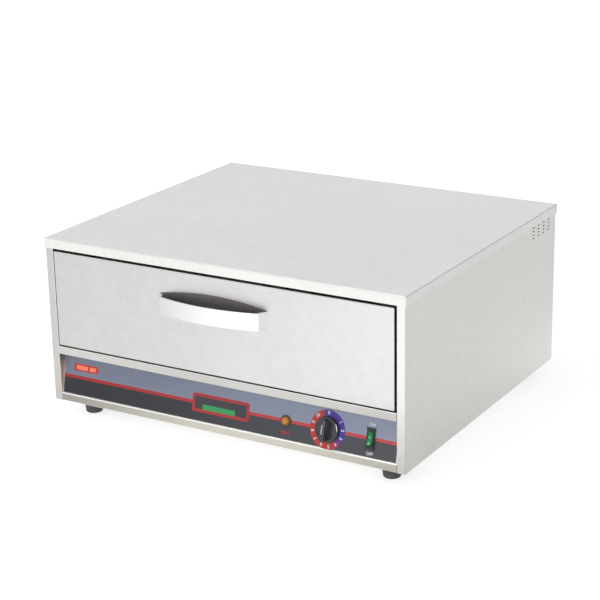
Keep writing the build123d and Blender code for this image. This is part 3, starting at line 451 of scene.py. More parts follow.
rail_steel = brushed_sheet(
    "bottom_rail_steel", top_tone=(0.90, 0.90, 0.88), front_tone=(0.625, 0.60, 0.53),
    side_tone=(0.72, 0.70, 0.63), left_end=-0.36,
)
print("sheet finishes ready, with grain", grain_length, "m long")

# %% [markdown]
# ## Inner metals
# Inside, the sheet is left as it comes from the mill: duller, with soft clouds instead of a grain. Rails
# and screws are zinc plated, which freezes in faint angular patches, so a Voronoi pattern tints them. One
# function makes all of these metals, because they differ only in tone, roughness and the size of their
# clouds.


# %% Mill sheet, zinc, chrome, heater sheath, brass and copper
def cloudy_metal(name, tone, roughness, cloud_scale, spread, patch_scale=None, tint=None):
    """Metal with soft clouds, and with tinted patches where their scale is given."""
    finish = Finish(name, Metallic=1.0)
    place = finish.place()
    cloud = finish.noise(place, cloud_scale, 5.0, 0.6, 0.3)
    fine = finish.noise(place, cloud_scale * 40, 2.0)
    strength = 1.0 + (cloud - 0.5) * spread + (fine - 0.5) * 0.08
    colour = finish.shade(tone, strength)
    if patch_scale:
        patch = finish.node(
            "ShaderNodeTexVoronoi", inputs={"Vector": place, "Scale": patch_scale}, output="Color"
        )
        lot = finish.part(patch, "X")
        colour = finish.mix(lot * 0.55, colour, finish.shade(tint, strength))
    finish.feed(
        Base_Color=colour,
        Roughness=roughness + (cloud - 0.5) * 0.25 + (fine - 0.5) * 0.06,
        Normal=finish.bump(fine, 0.00002, 0.3),
    )
    return finish


mill_sheet = cloudy_metal("mill_sheet", (0.56, 0.56, 0.55), roughness=0.38, cloud_scale=9.0, spread=0.16)
zinc_plate = cloudy_metal(
    "zinc_plate", (0.60, 0.61, 0.62), roughness=0.36, cloud_scale=30.0, spread=0.20,
    patch_scale=160.0, tint=(0.52, 0.54, 0.58),
)
bright_chrome = cloudy_metal(
    "bright_chrome", (0.80, 0.805, 0.825), roughness=0.18, cloud_scale=14.0, spread=0.05
)
heater_sheath = cloudy_metal(
    "heater_sheath", (0.20, 0.17, 0.15), roughness=0.50, cloud_scale=45.0, spread=0.7,
    patch_scale=60.0, tint=(0.16, 0.16, 0.20),
)
brass = cloudy_metal("brass_thread", (0.70, 0.50, 0.22), roughness=0.30, cloud_scale=80.0, spread=0.3)
copper = cloudy_metal(
    "copper_capillary", (0.72, 0.38, 0.25), roughness=0.32, cloud_scale=70.0, spread=0.4,
    patch_scale=90.0, tint=(0.50, 0.26, 0.18),
)
print("inner metals ready")

# %% [markdown]
# ## Plastics, rubber and wool
# Moulded plastic has a spark-eroded texture: tiny bumps that break up its gloss. Rubber has the same bumps,
# rougher, and a little dust on top. They are far too small to model, so a fine noise drives a Bump node.
# The mineral wool boards are matted fibres: two noises, stretched in different directions, lie over each
# other.


# %% Moulded plastics and rubber
dust_colour = (0.35, 0.34, 0.32)


def moulded(name, colour, roughness, bump_depth, dust=0.0, **constants):
    """Plastic or rubber with tiny bumps, and with dust on faces that look up where it is asked for."""
    finish = Finish(name, **constants)
    place = finish.place()
    spark = finish.noise(place, 2600.0, 2.0, 0.6)
    patch = finish.noise(place, 60.0, 4.0, 0.6)
    facing_up = finish.fade(finish.part(finish.facing("Normal"), "Z"), 0.3, 0.9)
    shaded = finish.shade(colour, 1.0 + (patch - 0.5) * 0.25 + (spark - 0.5) * 0.15)
    finish.feed(
        Base_Color=finish.mix(facing_up * patch * dust, shaded, dust_colour),
        Roughness=roughness + (patch - 0.5) * 0.15 + (spark - 0.5) * 0.10,
        Normal=finish.bump(spark, bump_depth, 0.4),
    )
    return finish


black_plastic = moulded("black_fitting_plastic", (0.028, 0.028, 0.03), roughness=0.42, bump_depth=0.00003)
plate_plastic = moulded("handle_plate_plastic", (0.098, 0.088, 0.088), roughness=0.40, bump_depth=0.00003)
knob_plastic = moulded(
    "glossy_knob_plastic", (0.038, 0.043, 0.052), roughness=0.18, bump_depth=0.000006,
    Specular_IOR_Level=0.6,
)
collar_plastic = moulded("lamp_collar_plastic", (0.085, 0.068, 0.042), roughness=0.40, bump_depth=0.00003)
foot_rubber = moulded("foot_rubber", (0.12, 0.12, 0.12), roughness=0.72, bump_depth=0.00006, dust=0.5)
nylon = moulded("roller_nylon", (0.78, 0.77, 0.72), roughness=0.40, bump_depth=0.00002)
bakelite = moulded("thermostat_bakelite", (0.03, 0.026, 0.024), roughness=0.34, bump_depth=0.00002)
terminal_plastic = moulded("terminal_plastic", (0.62, 0.60, 0.54), roughness=0.45, bump_depth=0.00003)
wire_cover = moulded("silicone_wire_cover", (0.42, 0.10, 0.05), roughness=0.5, bump_depth=0.00002)
print("plastics ready")


# %% Mineral wool
def matted_fibres(name, colour):
    """Two layers of stretched noise; the brighter one is on top."""
    finish = Finish(name, Roughness=0.95)
    place = finish.place()
    one_way = finish.noise(finish.stretched(place, (0.012, 0.0008, 0.0012)), 1.0, 3.0, 0.65, 0.6)
    other_way = finish.noise(finish.stretched(place, (0.0009, 0.010, 0.0013)), 1.0, 3.0, 0.65, 0.6)
    mat = finish.math("MAXIMUM", one_way, other_way)
    finish.feed(Base_Color=finish.shade(colour, mat * 1.5), Normal=finish.bump(mat, 0.0006, 0.8))
    return finish


mineral_wool = matted_fibres("mineral_wool", (0.55, 0.50, 0.36))
print("wool ready")

# %% [markdown]
# ## Lamp and switch colours
# The lamp's cap and the rocker are clear coloured plastic with a neon lamp behind. Real refraction would
# need the lamp inside and many light paths. A little emission, stronger in the middle, reads as the lamp's
# light without turning the part into a lamp of the scene. Their colour is painted lighter in the middle as
# well, painted light of the neon lamp, and darker towards the rim, a painted shade.


# %% Glowing plastics
def lit_plastic(name, colour, glow, strength, reach, centre, gloss=0.3, edge=0.9):
    """Coloured plastic that glows up to a reach from its centre, with painted light in its colour there and
    painted shade, dimmed to edge, outside.
    """
    finish = Finish(name, IOR=1.49, Specular_IOR_Level=gloss, Emission_Strength=strength)
    place = finish.place()
    away = finish.vector("DISTANCE", place, centre, output="Value")
    core = 1.0 - finish.fade(away, 0.0, reach)
    streak = finish.noise(place, 700.0, 2.0)
    finish.feed(
        # painted light of the neon lamp in the middle, painted shade down to edge towards the rim
        Base_Color=finish.shade(colour, edge + (streak - 0.5) * 0.25 + core * (1.1 - edge)),
        Emission_Color=finish.shade(glow, core * (0.75 + streak * 0.5)),
        Roughness=0.14 + streak * 0.08,
    )
    return finish


def middle(node):
    """The middle of a CAD node's box."""
    low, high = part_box(node)
    return (low + high) / 2


# edge: painted shade darkens the amber cap towards its rim
amber_lens = lit_plastic(
    "amber_lens", (0.44, 0.185, 0.035), glow=(1.0, 0.45, 0.05), strength=0.25, reach=0.0095,
    centre=middle("indicator_lens"), edge=0.72,
)
green_rocker = lit_plastic(
    "green_rocker", (0.036, 0.27, 0.10), glow=(0.05, 0.9, 0.25), strength=0.08, reach=0.014,
    centre=middle("switch_rocker"), gloss=0.12,
)
print("lamp at", [round(value, 4) for value in middle("indicator_lens")])

# %% [markdown]
# ## Panel frame
# The control panel leans back, so its print is easier to place in the panel's own frame: X across, Y up the
# slope and Z out of the face. Its lean could be measured on the mesh, but the knob's joint gives it all: it
# lies on the face and turns about the face's normal.

# %% The panel's own frame
knob_joint = next(joint for joint in frame["joints"] if joint["name"] == "knob_turn")
dial_point = Vector(knob_joint["pos_m"])
panel_out = -Vector(knob_joint["axis"]).normalized()
panel_up = panel_out.cross(Vector((1, 0, 0)))
panel_origin = Vector((0, dial_point.y, dial_point.z))
panel_axes = Matrix((Vector((1, 0, 0)), panel_up, panel_out)).transposed()
panel_matrix = Matrix.Translation(panel_origin) @ panel_axes.to_4x4()
control_line = panel_origin.dot(panel_up)
film_surface = panel_origin.dot(panel_out)
print("panel leans", round(math.degrees(math.asin(panel_out.z)), 2), "degrees")

# %% [markdown]
# ## Control film
# A thin polycarbonate film, printed on its back, covers the panel: blue-grey above, dark below, and a red
# line along the row of controls. A picture would blur close up. Two soft steps up the slope draw the print
# instead, and stay sharp at any distance. The surface is velvet, and towards the right the print is painted
# paler, a painted sheen of the lamp's light.

# %% Printed film
lower_ink = (0.036, 0.034, 0.042)
upper_ink = (0.248, 0.277, 0.372)
line_ink = (0.50, 0.035, 0.038)
sheen_colour = (0.82, 0.92, 1.0)
print_edge = 0.0003
line_half_width = 0.0021
line_soft_end = 0.0026

film = Finish("printed_film", IOR=1.55, Specular_IOR_Level=0.28)
place = film.place()
upward = film.along(place, panel_up) - control_line
above = film.fade(upward, -print_edge, print_edge)
line = 1.0 - film.fade(abs(upward), line_half_width, line_soft_end)
# painted sheen: the print is made paler and bluer towards the right
painted_sheen = film.fade(film.part(place, "X"), -0.25, 0.32)
printed = film.mix(line, film.mix(above, lower_ink, upper_ink), line_ink)
with_sheen = film.mix(painted_sheen * 0.06, film.shade(printed, 1.0 + painted_sheen * 0.40), sheen_colour)
cloud = film.noise(place, 14.0, 3.0)
velvet = film.noise(place, 3200.0, 2.0)
film.feed(
    Base_Color=film.shade(with_sheen, 0.94 + cloud * 0.08 + velvet * 0.04),
    Roughness=0.30 + velvet * 0.10 + (cloud - 0.5) * 0.08,
    Normal=film.bump(velvet, 0.00001, 0.25),
)
print("film printed, with a line", 2 * line_half_width, "m wide")

# %% [markdown]
# ## Dressing the CAD nodes
# Each CAD node comes with one slot that says what it is made of, and that slot chooses the finish. Naming a
# finish for every node would be a long list, so only six have their own: five outer sheets, whose tones hold
# the painted light and shade of where each lies, and the plate behind the handle.

# %% Give each CAD node its finish
slot_finishes = {
    "stainless": casing_steel,
    "inner_steel": mill_sheet,
    "zinc_steel": zinc_plate,
    "chrome": bright_chrome,
    "black_plastic": black_plastic,
    "knob_plastic": knob_plastic,
    "overlay_film": film,
    "amber_lens": amber_lens,
    "green_rocker": green_rocker,
    "foot_rubber": foot_rubber,
    "nylon": nylon,
    "bakelite": bakelite,
    "terminal_plastic": terminal_plastic,
    "mineral_wool": mineral_wool,
    "element_sheath": heater_sheath,
    "brass": brass,
    "copper_tube": copper,
    "wire_cover": wire_cover,
}
node_finishes = {
    "top_cover": cover_steel,
    "drawer_front": drawer_steel,
    "middle_rail": frame_steel,
    "top_rail": frame_steel,
    "bottom_rail": rail_steel,
    "handle_backplate": plate_plastic,
}
for name, node in nodes.items():
    slot = node.material_slots[0]
    finish = node_finishes.get(name, slot_finishes[slot.material.name.split(".")[0]])
    slot.material = finish.material
print(len(nodes), "CAD nodes dressed")

# %% [markdown]
# ## Shade and highlight on the handle
# The plate behind the bow is painted darker low down, a painted shade under the bow, and paler along its
# upper edge, a painted reflection of the steel above it. The bow's two ends are rougher and scatter more than
# the long face between them, and a painted highlight makes them lighter. Both could be finishes of their
# own. Here they are laid over what the plate and the chrome have already, so their bumps and clouds go on
# beneath.

# %% Plate and bow
lit_band_below_bow = 0.007
shade_tint = (0.70, 0.80, 0.83)
lit_tint = (1.75, 1.65, 1.68)
plate_low, plate_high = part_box("handle_backplate")
bow_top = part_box("handle_bow")[1].z
# painted shade low on the plate, and a painted reflection along its upper edge
level = plate_plastic.part(plate_plastic.place(), "Z")
lit_band = plate_plastic.fade(level, bow_top - lit_band_below_bow, plate_high.z)
shadowed = plate_plastic.mix(lit_band, shade_tint, lit_tint)
plate_plastic.feed(Base_Color=plate_plastic.vector("MULTIPLY", plate_plastic.fed("Base Color"), shadowed))

# painted highlight: the bow's ends are made lighter; they are also rougher
outwards = bright_chrome.part(bright_chrome.facing(), "X")
at_end = bright_chrome.fade(abs(outwards), 0.45, 0.60)
bright_chrome.feed(
    Base_Color=bright_chrome.shade(bright_chrome.fed("Base Color"), 1.0 + at_end * 0.20),
    Roughness=bright_chrome.fed("Roughness") + at_end * 0.35,
)
print("plate", round(plate_high.z - plate_low.z, 4), "m high is worn, the bow's ends are buffed")

# %% [markdown]
# ## Modelling helpers
# Each new piece is modelled as by hand: a primitive at its size and place, then a few edit mode steps on
# faces or edges that are picked by where they are. `pick` does the picking, `push` extrudes what is picked,
# and `complete` puts a piece on its body with its finish. Places that differ by less than a hair count as
# the same.


# %% Start a piece and pick on it
hair = 0.00001


def select_only(piece=None):
    """Leave edit mode, and select one piece or none."""
    if bpy.context.object and bpy.context.object.mode == "EDIT":
        bpy.ops.object.mode_set(mode="OBJECT")
    bpy.ops.object.select_all(action="DESELECT")
    if piece:
        bpy.context.view_layer.objects.active = piece
        piece.select_set(True)


def start(primitive, name, location, stretch=None, **sizes):
    """Add a primitive with nothing else selected, name it, stretch it in edit mode and stay there."""
    select_only()
    primitive(location=location, **sizes)
    bpy.ops.object.transform_apply(location=True, rotation=True, scale=True)
    piece = bpy.context.object
    piece.name = name
    piece.data.name = name
    bpy.ops.object.mode_set(mode="EDIT")
    bpy.ops.mesh.select_all(action="SELECT")
    if stretch:
        bpy.ops.transform.resize(value=stretch, center_override=location)
    return piece


def pick(kind, wanted):
    """Select only the faces, edges or vertices for which wanted(place, direction) is true."""
    bpy.ops.mesh.select_mode(type=kind)
    bpy.ops.mesh.select_all(action="DESELECT")
    mesh = bpy.context.object.data
    shape = bmesh.from_edit_mesh(mesh)
    shape.normal_update()
    if kind == "FACE":
        for face in shape.faces:
            face.select_set(wanted(face.calc_center_median(), face.normal))
    elif kind == "EDGE":
        for edge in shape.edges:
            ends = [vertex.co for vertex in edge.verts]
            edge.select_set(wanted((ends[0] + ends[1]) / 2, (ends[1] - ends[0]).normalized()))
    else:
        for vertex in shape.verts:
            vertex.select_set(wanted(vertex.co, vertex.normal))
    bmesh.update_edit_mesh(mesh)


def pick_front():
    """Select only the flat faces that look straight out."""
    pick("FACE", lambda place, normal: normal.z > 0.99)


def nth_side(across, up, sides, step):
    """True for every step-th side of a round piece, from the side's place beside and above the axis."""
    turn = math.atan2(up, across) / (2 * math.pi)
    return int((turn + 1) * sides) % step == 0


print("pieces can be started and picked on")


# %% Shape a piece and complete it
def push(distance):
    """Extrude what is selected along Z."""
    bpy.ops.mesh.extrude_region_move(TRANSFORM_OT_translate={"value": (0, 0, distance)})


def spread(across, up, centre):
    """Extrude the selected face in place and scale it: a flange, or the mouth of a well."""
    bpy.ops.mesh.extrude_region_move(TRANSFORM_OT_translate={"value": (0, 0, 0)})
    bpy.ops.transform.resize(value=(across, up, 1), center_override=centre)


def round_edges(offset, segments):
    """Round the edges of what is selected."""
    bpy.ops.mesh.select_mode(type="EDGE")
    bpy.ops.mesh.bevel(offset=offset, segments=segments)


def hollow(stroke):
    """Cut the middle out of a flat outline, so that a frame of this width stays."""
    pick("FACE", lambda place, normal: True)
    bpy.ops.mesh.inset(thickness=stroke)
    bpy.ops.mesh.delete(type="FACE")
    bpy.ops.mesh.select_all(action="SELECT")


def close_shape():
    """Merge doubles and turn all faces outwards."""
    bpy.ops.mesh.select_all(action="SELECT")
    bpy.ops.mesh.remove_doubles(threshold=1e-6)
    bpy.ops.mesh.normals_make_consistent(inside=False)


def apply_boolean(piece, tool, operation):
    """Cut or add a helper piece, which is then thrown away."""
    select_only(piece)
    cut = piece.modifiers.new("cut", "BOOLEAN")
    cut.operation = operation
    cut.object = tool
    cut.solver = "EXACT"
    bpy.ops.object.modifier_apply(modifier=cut.name)
    bpy.data.objects.remove(tool)


def complete(piece, finish, body, replaced=(), on_panel=True, smooth=35):
    """Place the piece, smooth it, give it its finish and let it ride on its body."""
    select_only(piece)
    if on_panel:
        piece.matrix_world = panel_matrix
    bpy.ops.object.transform_apply(location=True, rotation=True, scale=True)
    bpy.ops.object.shade_smooth_by_angle(angle=math.radians(smooth))
    piece.data.materials.clear()
    piece.data.materials.append(finish.material)
    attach(piece, body)
    if replaced:
        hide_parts(*replaced)
    print(piece.name, "with", len(piece.data.polygons), "faces rides on", body)


print("pieces can be shaped and completed")

# %% [markdown]
# ## Print on the film
# Badge, label and dial ring are thick ink on the film. They could be part of the film's finish, but screen
# print stands up a little and has its own gloss. So each is a flat outline with rounded corners, cut out
# where it is only a frame, and given the thickness of the ink. Ink has a fine orange peel and thins a
# little in places, so its colour isn't even.

# %% Ink
ink_roughness = 0.35


def ink(name, colour, painted_glow=0.0):
    """Thick ink, with a painted glow of its own where a pale ink has to stay pale in shade."""
    finish = Finish(name, IOR=1.5, Emission_Color=colour, Emission_Strength=painted_glow)
    place = finish.place()
    peel = finish.noise(place, 1500.0, 2.0)
    thin = finish.noise(place, 120.0, 4.0, 0.6)
    finish.feed(
        Base_Color=finish.shade(colour, 1.0 + (thin - 0.5) * 0.25 + (peel - 0.5) * 0.12),
        Roughness=ink_roughness + (peel - 0.5) * 0.15,
        Normal=finish.bump(peel, 0.000008, 0.4),
    )
    return finish


red_ink = ink("red_ink", (0.50, 0.035, 0.04))
label_ink = ink("label_red_ink", (0.62, 0.075, 0.05))
# painted glow: the pale label ink glows a little, so that it stays pale in shade
pale_label_ink = ink("pale_label_ink", (0.95, 0.21, 0.12), painted_glow=0.35)
dark_ink = ink("dark_window_ink", (0.045, 0.045, 0.055))
green_ink = ink("green_bar_ink", (0.045, 0.40, 0.125))
white_ink = ink("white_ink", (0.82, 0.82, 0.80))
print("inks ready")

# %% Badge, window, bar and label
ink_below = 0.0002
ink_above = 0.00008
second_coat = 0.00002


def flat_print(name, x, up, width, height, corner, finish, stroke=None, coat=0.0):
    """A rounded rectangle of ink on the film, or only its frame where a stroke is given."""
    piece = start(bpy.ops.mesh.primitive_plane_add, name, (x, up, -ink_below), (width, height, 1), size=1)
    bpy.ops.mesh.bevel(offset=corner, segments=6, affect="VERTICES")
    if stroke:
        hollow(stroke)
    push(ink_below + ink_above + coat)
    close_shape()
    complete(piece, finish, "cabinet")


badge_x = -0.0025
badge_up = 0.0001
flat_print("badge_window", badge_x, badge_up, width=0.090, height=0.022, corner=0.002, finish=dark_ink)
flat_print(
    "badge_frame", badge_x, badge_up, width=0.095, height=0.027, corner=0.004, finish=red_ink,
    stroke=0.0045, coat=second_coat,
)
flat_print(
    "badge_bar", x=-0.005, up=-0.0052, width=0.054, height=0.0075, corner=0.0006, finish=green_ink,
    coat=second_coat,
)
label_up = 0.0149
label_bar_height = 0.0058
flat_print("red_label", x=-0.2395, up=label_up, width=0.045, height=0.0112, corner=0.004, finish=label_ink)
flat_print(
    "label_long_bar", x=-0.2465, up=label_up, width=0.020, height=label_bar_height, corner=0.002,
    finish=pale_label_ink, coat=second_coat,
)
flat_print(
    "label_short_bar", x=-0.2275, up=label_up, width=0.0105, height=label_bar_height, corner=0.001,
    finish=pale_label_ink, coat=second_coat,
)

# %% [markdown]
# ## Dial ring
# The ring round the knob shows cold and hot: violet from the top to the right, red from the bottom round to
# the left. It is a disc with its middle cut out. Two pieces of ring would meet in a hard line. Here the
# angle round the dial, worked out in the panel's frame, runs through a colour ramp, so the two inks melt
# into each other as in a half-tone print.

# %% Dial ring
dial_x = dial_point.x
dial_outer = 0.0274
dial_inner = 0.0180
ring = start(
    bpy.ops.mesh.primitive_circle_add, "dial_ring", (dial_x, 0, -ink_below),
    vertices=128, radius=dial_outer, fill_type="NGON",
)
hollow(dial_outer - dial_inner)
push(ink_below + ink_above)
close_shape()
print("dial ring", 2 * dial_outer, "m wide")

# %% Cold and hot ink
cold_ink = (0.075, 0.045, 0.36)
hot_ink = (0.62, 0.045, 0.045)
dial_print = Finish("dial_print", IOR=1.5)
place = dial_print.place()
across = dial_print.part(place, "X") - dial_x
upward = dial_print.along(place, panel_up) - control_line
clock = dial_print.math("ARCTAN2", across, upward) / (2 * math.pi)
clock = dial_print.math("FRACT", clock + 1.0)
ring_colour = dial_print.ramp(
    clock,
    [(0.0, cold_ink), (0.33, cold_ink), (0.43, hot_ink), (0.93, hot_ink), (0.965, cold_ink)],
)
dots = dial_print.noise(place, 900.0, 2.0)
dial_print.feed(
    Base_Color=dial_print.shade(ring_colour, 0.88 + dots * 0.24),
    Roughness=0.30 + dots * 0.12,
    Normal=dial_print.bump(dots, 0.000008, 0.4),
)
complete(ring, dial_print, "cabinet")

# %% [markdown]
# ## Numbers and words
# The dial carries 0 at the top and 1 to 10 round it, each turned to face outwards. ON and OFF stand by the
# switch, and a small red word stands under the lamp. Drawing letters point by point would be slow work, and
# text objects give clean outlines. They are turned into meshes, joined into one piece and laid on the
# panel.

# %% Lettering on the panel
capital_share = 0.70
letter_half_depth = 0.00016


def letters(text, x, up, capital, weight, turn=0.0):
    """A text as a mesh: its capitals' height, how much its strokes are widened, and its clockwise turn."""
    select_only()
    bpy.ops.object.text_add(location=(x, up, 0), rotation=(0, 0, math.radians(-turn)))
    made = bpy.context.object
    made.data.body = text
    made.data.align_x = "CENTER"
    made.data.align_y = "CENTER"
    made.data.size = capital / capital_share
    made.data.offset = weight
    made.data.extrude = letter_half_depth
    made.data.resolution_u = 4
    bpy.ops.object.convert(target="MESH")
    bpy.ops.object.transform_apply(location=True, rotation=True, scale=True)
    return bpy.context.object


def lettering(name, words, finish):
    """Join the words into one piece of print."""
    select_only(words[0])
    for word in words:
        word.select_set(True)
    if len(words) > 1:
        bpy.ops.object.join()
    piece = bpy.context.object
    piece.name = name
    piece.data.name = name
    bpy.ops.object.mode_set(mode="EDIT")
    close_shape()
    complete(piece, finish, "cabinet", smooth=20)


print("letters are", 2 * letter_half_depth, "m thick")

# %% Numbers on the dial
number_radius = 0.0232
number_height = 0.0045
number_weight = 0.00028
first_number = 55.0
number_step = 28.9
number_turns = [0.0] + [first_number + number_step * count for count in range(10)]
numbers = []
for number, turn in enumerate(number_turns):
    x = dial_x + number_radius * math.sin(math.radians(turn))
    up = number_radius * math.cos(math.radians(turn))
    numbers.append(letters(str(number), x, up, number_height, number_weight, turn))
lettering("dial_numbers", numbers, white_ink)

# %% Words by the switch and the lamp
switch_x = middle("switch_housing").x
lamp_x = middle("indicator_lens").x
switch_on = letters("ON", switch_x, up=0.0188, capital=0.0046, weight=0.00022)
switch_off = letters("OFF", switch_x, up=-0.0212, capital=0.0042, weight=0.0002)
lettering("switch_words", [switch_on, switch_off], white_ink)
lamp_word_x = lamp_x + 0.0008
lamp_word = letters("HEAT", lamp_word_x, up=-0.0168, capital=0.0046, weight=0.00014)
lettering("lamp_word", [lamp_word], red_ink)

# %% [markdown]
# ## Knob
# The knob is one glossy moulding: a thin round skirt that hides the nut, and a bar to hold. The bar narrows
# to the top so that it leaves the mould, and a groove in it points at the number. The underside is hollow,
# with a deep hole for the shaft. A lathe shape can't carry the bar, so skirt and bar are shaped apart, each
# with its own rounding, and a Boolean joins them.

# %% Skirt
skirt_radius = 0.0185
skirt_foot = 0.0006
skirt_top = 0.0056
skirt_taper = 0.962
skirt_round = 0.0030
skirt_lip = 0.0006
skirt_dish = 0.0004
knob = start(
    bpy.ops.mesh.primitive_cylinder_add, "turning_knob", (dial_x, 0, (skirt_foot + skirt_top) / 2),
    vertices=128, radius=skirt_radius, depth=skirt_top - skirt_foot,
)
pick_front()
bpy.ops.transform.resize(value=(skirt_taper, skirt_taper, 1), center_override=(dial_x, 0, skirt_top))
round_edges(skirt_round, 8)
pick_front()
bpy.ops.mesh.inset(thickness=skirt_lip)
push(-skirt_dish)
print("skirt", 2 * skirt_radius, "m wide")

# %% Bar
grip_width = 0.0095
grip_length = 0.033
grip_foot = 0.004
grip_top = 0.0176
grip_corner = 0.0046
grip_taper = (0.82, 0.95, 1)
grip_edge = 0.0014
grip = start(
    bpy.ops.mesh.primitive_cube_add, "knob_bar", (dial_x, 0, (grip_foot + grip_top) / 2),
    (grip_width, grip_length, grip_top - grip_foot), size=1,
)
pick("EDGE", lambda place, direction: abs(direction.z) > 0.9)
bpy.ops.mesh.bevel(offset=grip_corner, segments=10)
pick_front()
bpy.ops.transform.resize(value=grip_taper, center_override=(dial_x, 0, grip_top))
round_edges(grip_edge, 5)
close_shape()
apply_boolean(knob, grip, "UNION")
print("bar", grip_length, "m long joined to the skirt")

# %% Groove and hollow underside
groove_middle = 0.0016
groove_length = 0.0136
groove_width = 0.0016
groove_cutter = 0.0009
wall_under_skirt = 0.0055
hollow_depth = 0.0032
wall_round_hole = 0.00995
hole_depth = 0.01035
groove = start(
    bpy.ops.mesh.primitive_cube_add, "pointer_groove", (dial_x, groove_middle, grip_top),
    (groove_width, groove_length, groove_cutter), size=1,
)
apply_boolean(knob, groove, "DIFFERENCE")
bpy.ops.object.mode_set(mode="EDIT")
pick("FACE", lambda place, normal: normal.z < -0.9 and place.z < skirt_foot + hair)
bpy.ops.mesh.inset(thickness=wall_under_skirt)
push(hollow_depth)
bpy.ops.mesh.inset(thickness=wall_round_hole)
push(hole_depth)
close_shape()
complete(knob, knob_plastic, "knob", ["knob"], smooth=30)

# %% [markdown]
# ## Pale line in the groove
# The pointer is a line of pale paint in the groove. It is drawn long and low on the bar, so that it also
# stands for a painted highlight on the bar. A sliver of mesh would be thinner than its own edges, so the
# knob's finish paints it: inside a long narrow box on the bar's top, the colour turns pale.

# %% Painted pointer
paint_colour = (0.72, 0.70, 0.72)
paint_half_width = 0.0009
paint_from = 0.0160
paint_full = 0.0166
place = knob_plastic.place()
across = knob_plastic.part(place, "X") - dial_x
upward = knob_plastic.along(place, panel_up) - control_line
outward = knob_plastic.along(place, panel_out) - film_surface
off_side = abs(across) / paint_half_width
off_end = abs(upward - groove_middle) / (groove_length / 2)
in_box = 1.0 - knob_plastic.fade(knob_plastic.math("MAXIMUM", off_side, off_end), 0.9, 1.0)
# pale pointer paint, long and low enough to stand for a painted highlight on the bar too
painted = in_box * knob_plastic.fade(outward, paint_from, paint_full)
knob_plastic.feed(Base_Color=knob_plastic.mix(painted, knob_plastic.fed("Base Color"), paint_colour))
print("pointer line", groove_length, "m long painted")

# %% [markdown]
# ## Glint on the knob
# A glossy knob shows the studio lamps as thin bright curves in its rim. A tall strip lamp on the right
# makes the curve that the camera sees. It is linked to the knob alone, so the steel beside it stays as it
# is, and it adds no light to the knob's own colour.

# %% Strip lamp for the knob
strip = soft_box("knob_strip", (1.25, -1.10, 0.60), target=dial_point, width=0.5, height=1.1, power=54.0)
strip.visible_camera = False
strip.visible_diffuse = False
shown_to = bpy.data.collections.new("shows_the_strip")
shown_to.objects.link(knob)
strip.light_linking.receiver_collection = shown_to

# %% [markdown]
# ## Lamp
# The lamp is a snap-in fitting: a dark barrel behind the panel, a round collar in front, and an amber cap
# in the collar's seat. The collar grows out of the barrel's end face, so both are one closed moulding. The
# cap is a short cylinder with a round shoulder. Flutes round its side scatter the light, and its front is
# stepped.

# %% Lamp collar and barrel
barrel_radius = 0.0055
barrel_length = 0.024
collar_radius = 0.0082
collar_height = 0.0018
collar_edge = 0.0006
seat_radius = 0.0059
seat_level = 0.0006
collar = start(
    bpy.ops.mesh.primitive_cylinder_add, "lamp_collar", (lamp_x, 0, -barrel_length / 2),
    vertices=96, radius=barrel_radius, depth=barrel_length,
)
pick_front()
spread(collar_radius / barrel_radius, collar_radius / barrel_radius, (lamp_x, 0, 0))
push(collar_height)
round_edges(collar_edge, 4)
pick_front()
bpy.ops.mesh.inset(thickness=collar_radius - collar_edge - seat_radius)
push(seat_level - collar_height)
close_shape()
complete(collar, collar_plastic, "cabinet", ["indicator_housing"])

# %% Amber cap
cap_radius = 0.0058
cap_foot = 0.0006
cap_top = 0.0042
cap_shoulder = 0.0028
cap_sides = 64
flute_margin = 0.00008
flute_depth = 0.00022
step_width = 0.0008
step_depth = 0.0004
button_gap = 0.0007
button_rise = 0.0003
cap = start(
    bpy.ops.mesh.primitive_cylinder_add, "lamp_cap", (lamp_x, 0, (cap_foot + cap_top) / 2),
    vertices=cap_sides, radius=cap_radius, depth=cap_top - cap_foot,
)
pick_front()
round_edges(cap_shoulder, 10)
pick(
    "FACE",
    lambda place, normal: abs(normal.z) < 0.1 and nth_side(place.x - lamp_x, place.y, cap_sides, step=2),
)
bpy.ops.mesh.inset(thickness=flute_margin, depth=-flute_depth, use_individual=True)
pick_front()
bpy.ops.mesh.inset(thickness=step_width)
push(-step_depth)
bpy.ops.mesh.inset(thickness=button_gap)
push(button_rise)
close_shape()
complete(cap, amber_lens, "cabinet", ["indicator_lens"])

# %% [markdown]
# ## Rocker switch
# The switch is pushed into the panel from the front, so its rim is wider than its body. The rim and the
# well for the rocker grow out of one block by scaling and pushing the same face. The rocker is a slice of a
# round bar with a shallow V in front, so one half lies flat when the other stands out. Two pegs hang it in
# the well's walls, and it is modelled upright and then turned to where it rests.

# %% Switch frame
body_width = 0.0112
body_height = 0.026
body_depth = 0.024
rim_width = 0.012
rim_height = 0.029
rim_front = 0.0025
rim_corner = 0.0015
rim_edge = 0.0006
well_width = 0.0087
well_height = 0.0211
well_depth = 0.01305
switch_frame = start(
    bpy.ops.mesh.primitive_cube_add, "switch_frame", (switch_x, 0, -body_depth / 2),
    (body_width, body_height, body_depth), size=1,
)
pick_front()
spread(rim_width / body_width, rim_height / body_height, (switch_x, 0, 0))
push(rim_front)
spread(well_width / rim_width, well_height / rim_height, (switch_x, 0, rim_front))
push(-well_depth)


def at_rim_corner(place):
    """True on the rim's four upright corner edges."""
    return place.z > 0 and abs(place.y) > rim_height / 2 - hair


def on_rim(place):
    """True on the rim's front outline, round corners too."""
    at_side = abs(place.x - switch_x) > rim_width / 2 - rim_edge
    at_end = abs(place.y) > rim_height / 2 - rim_edge
    return place.z > rim_front - hair and (at_side or at_end)


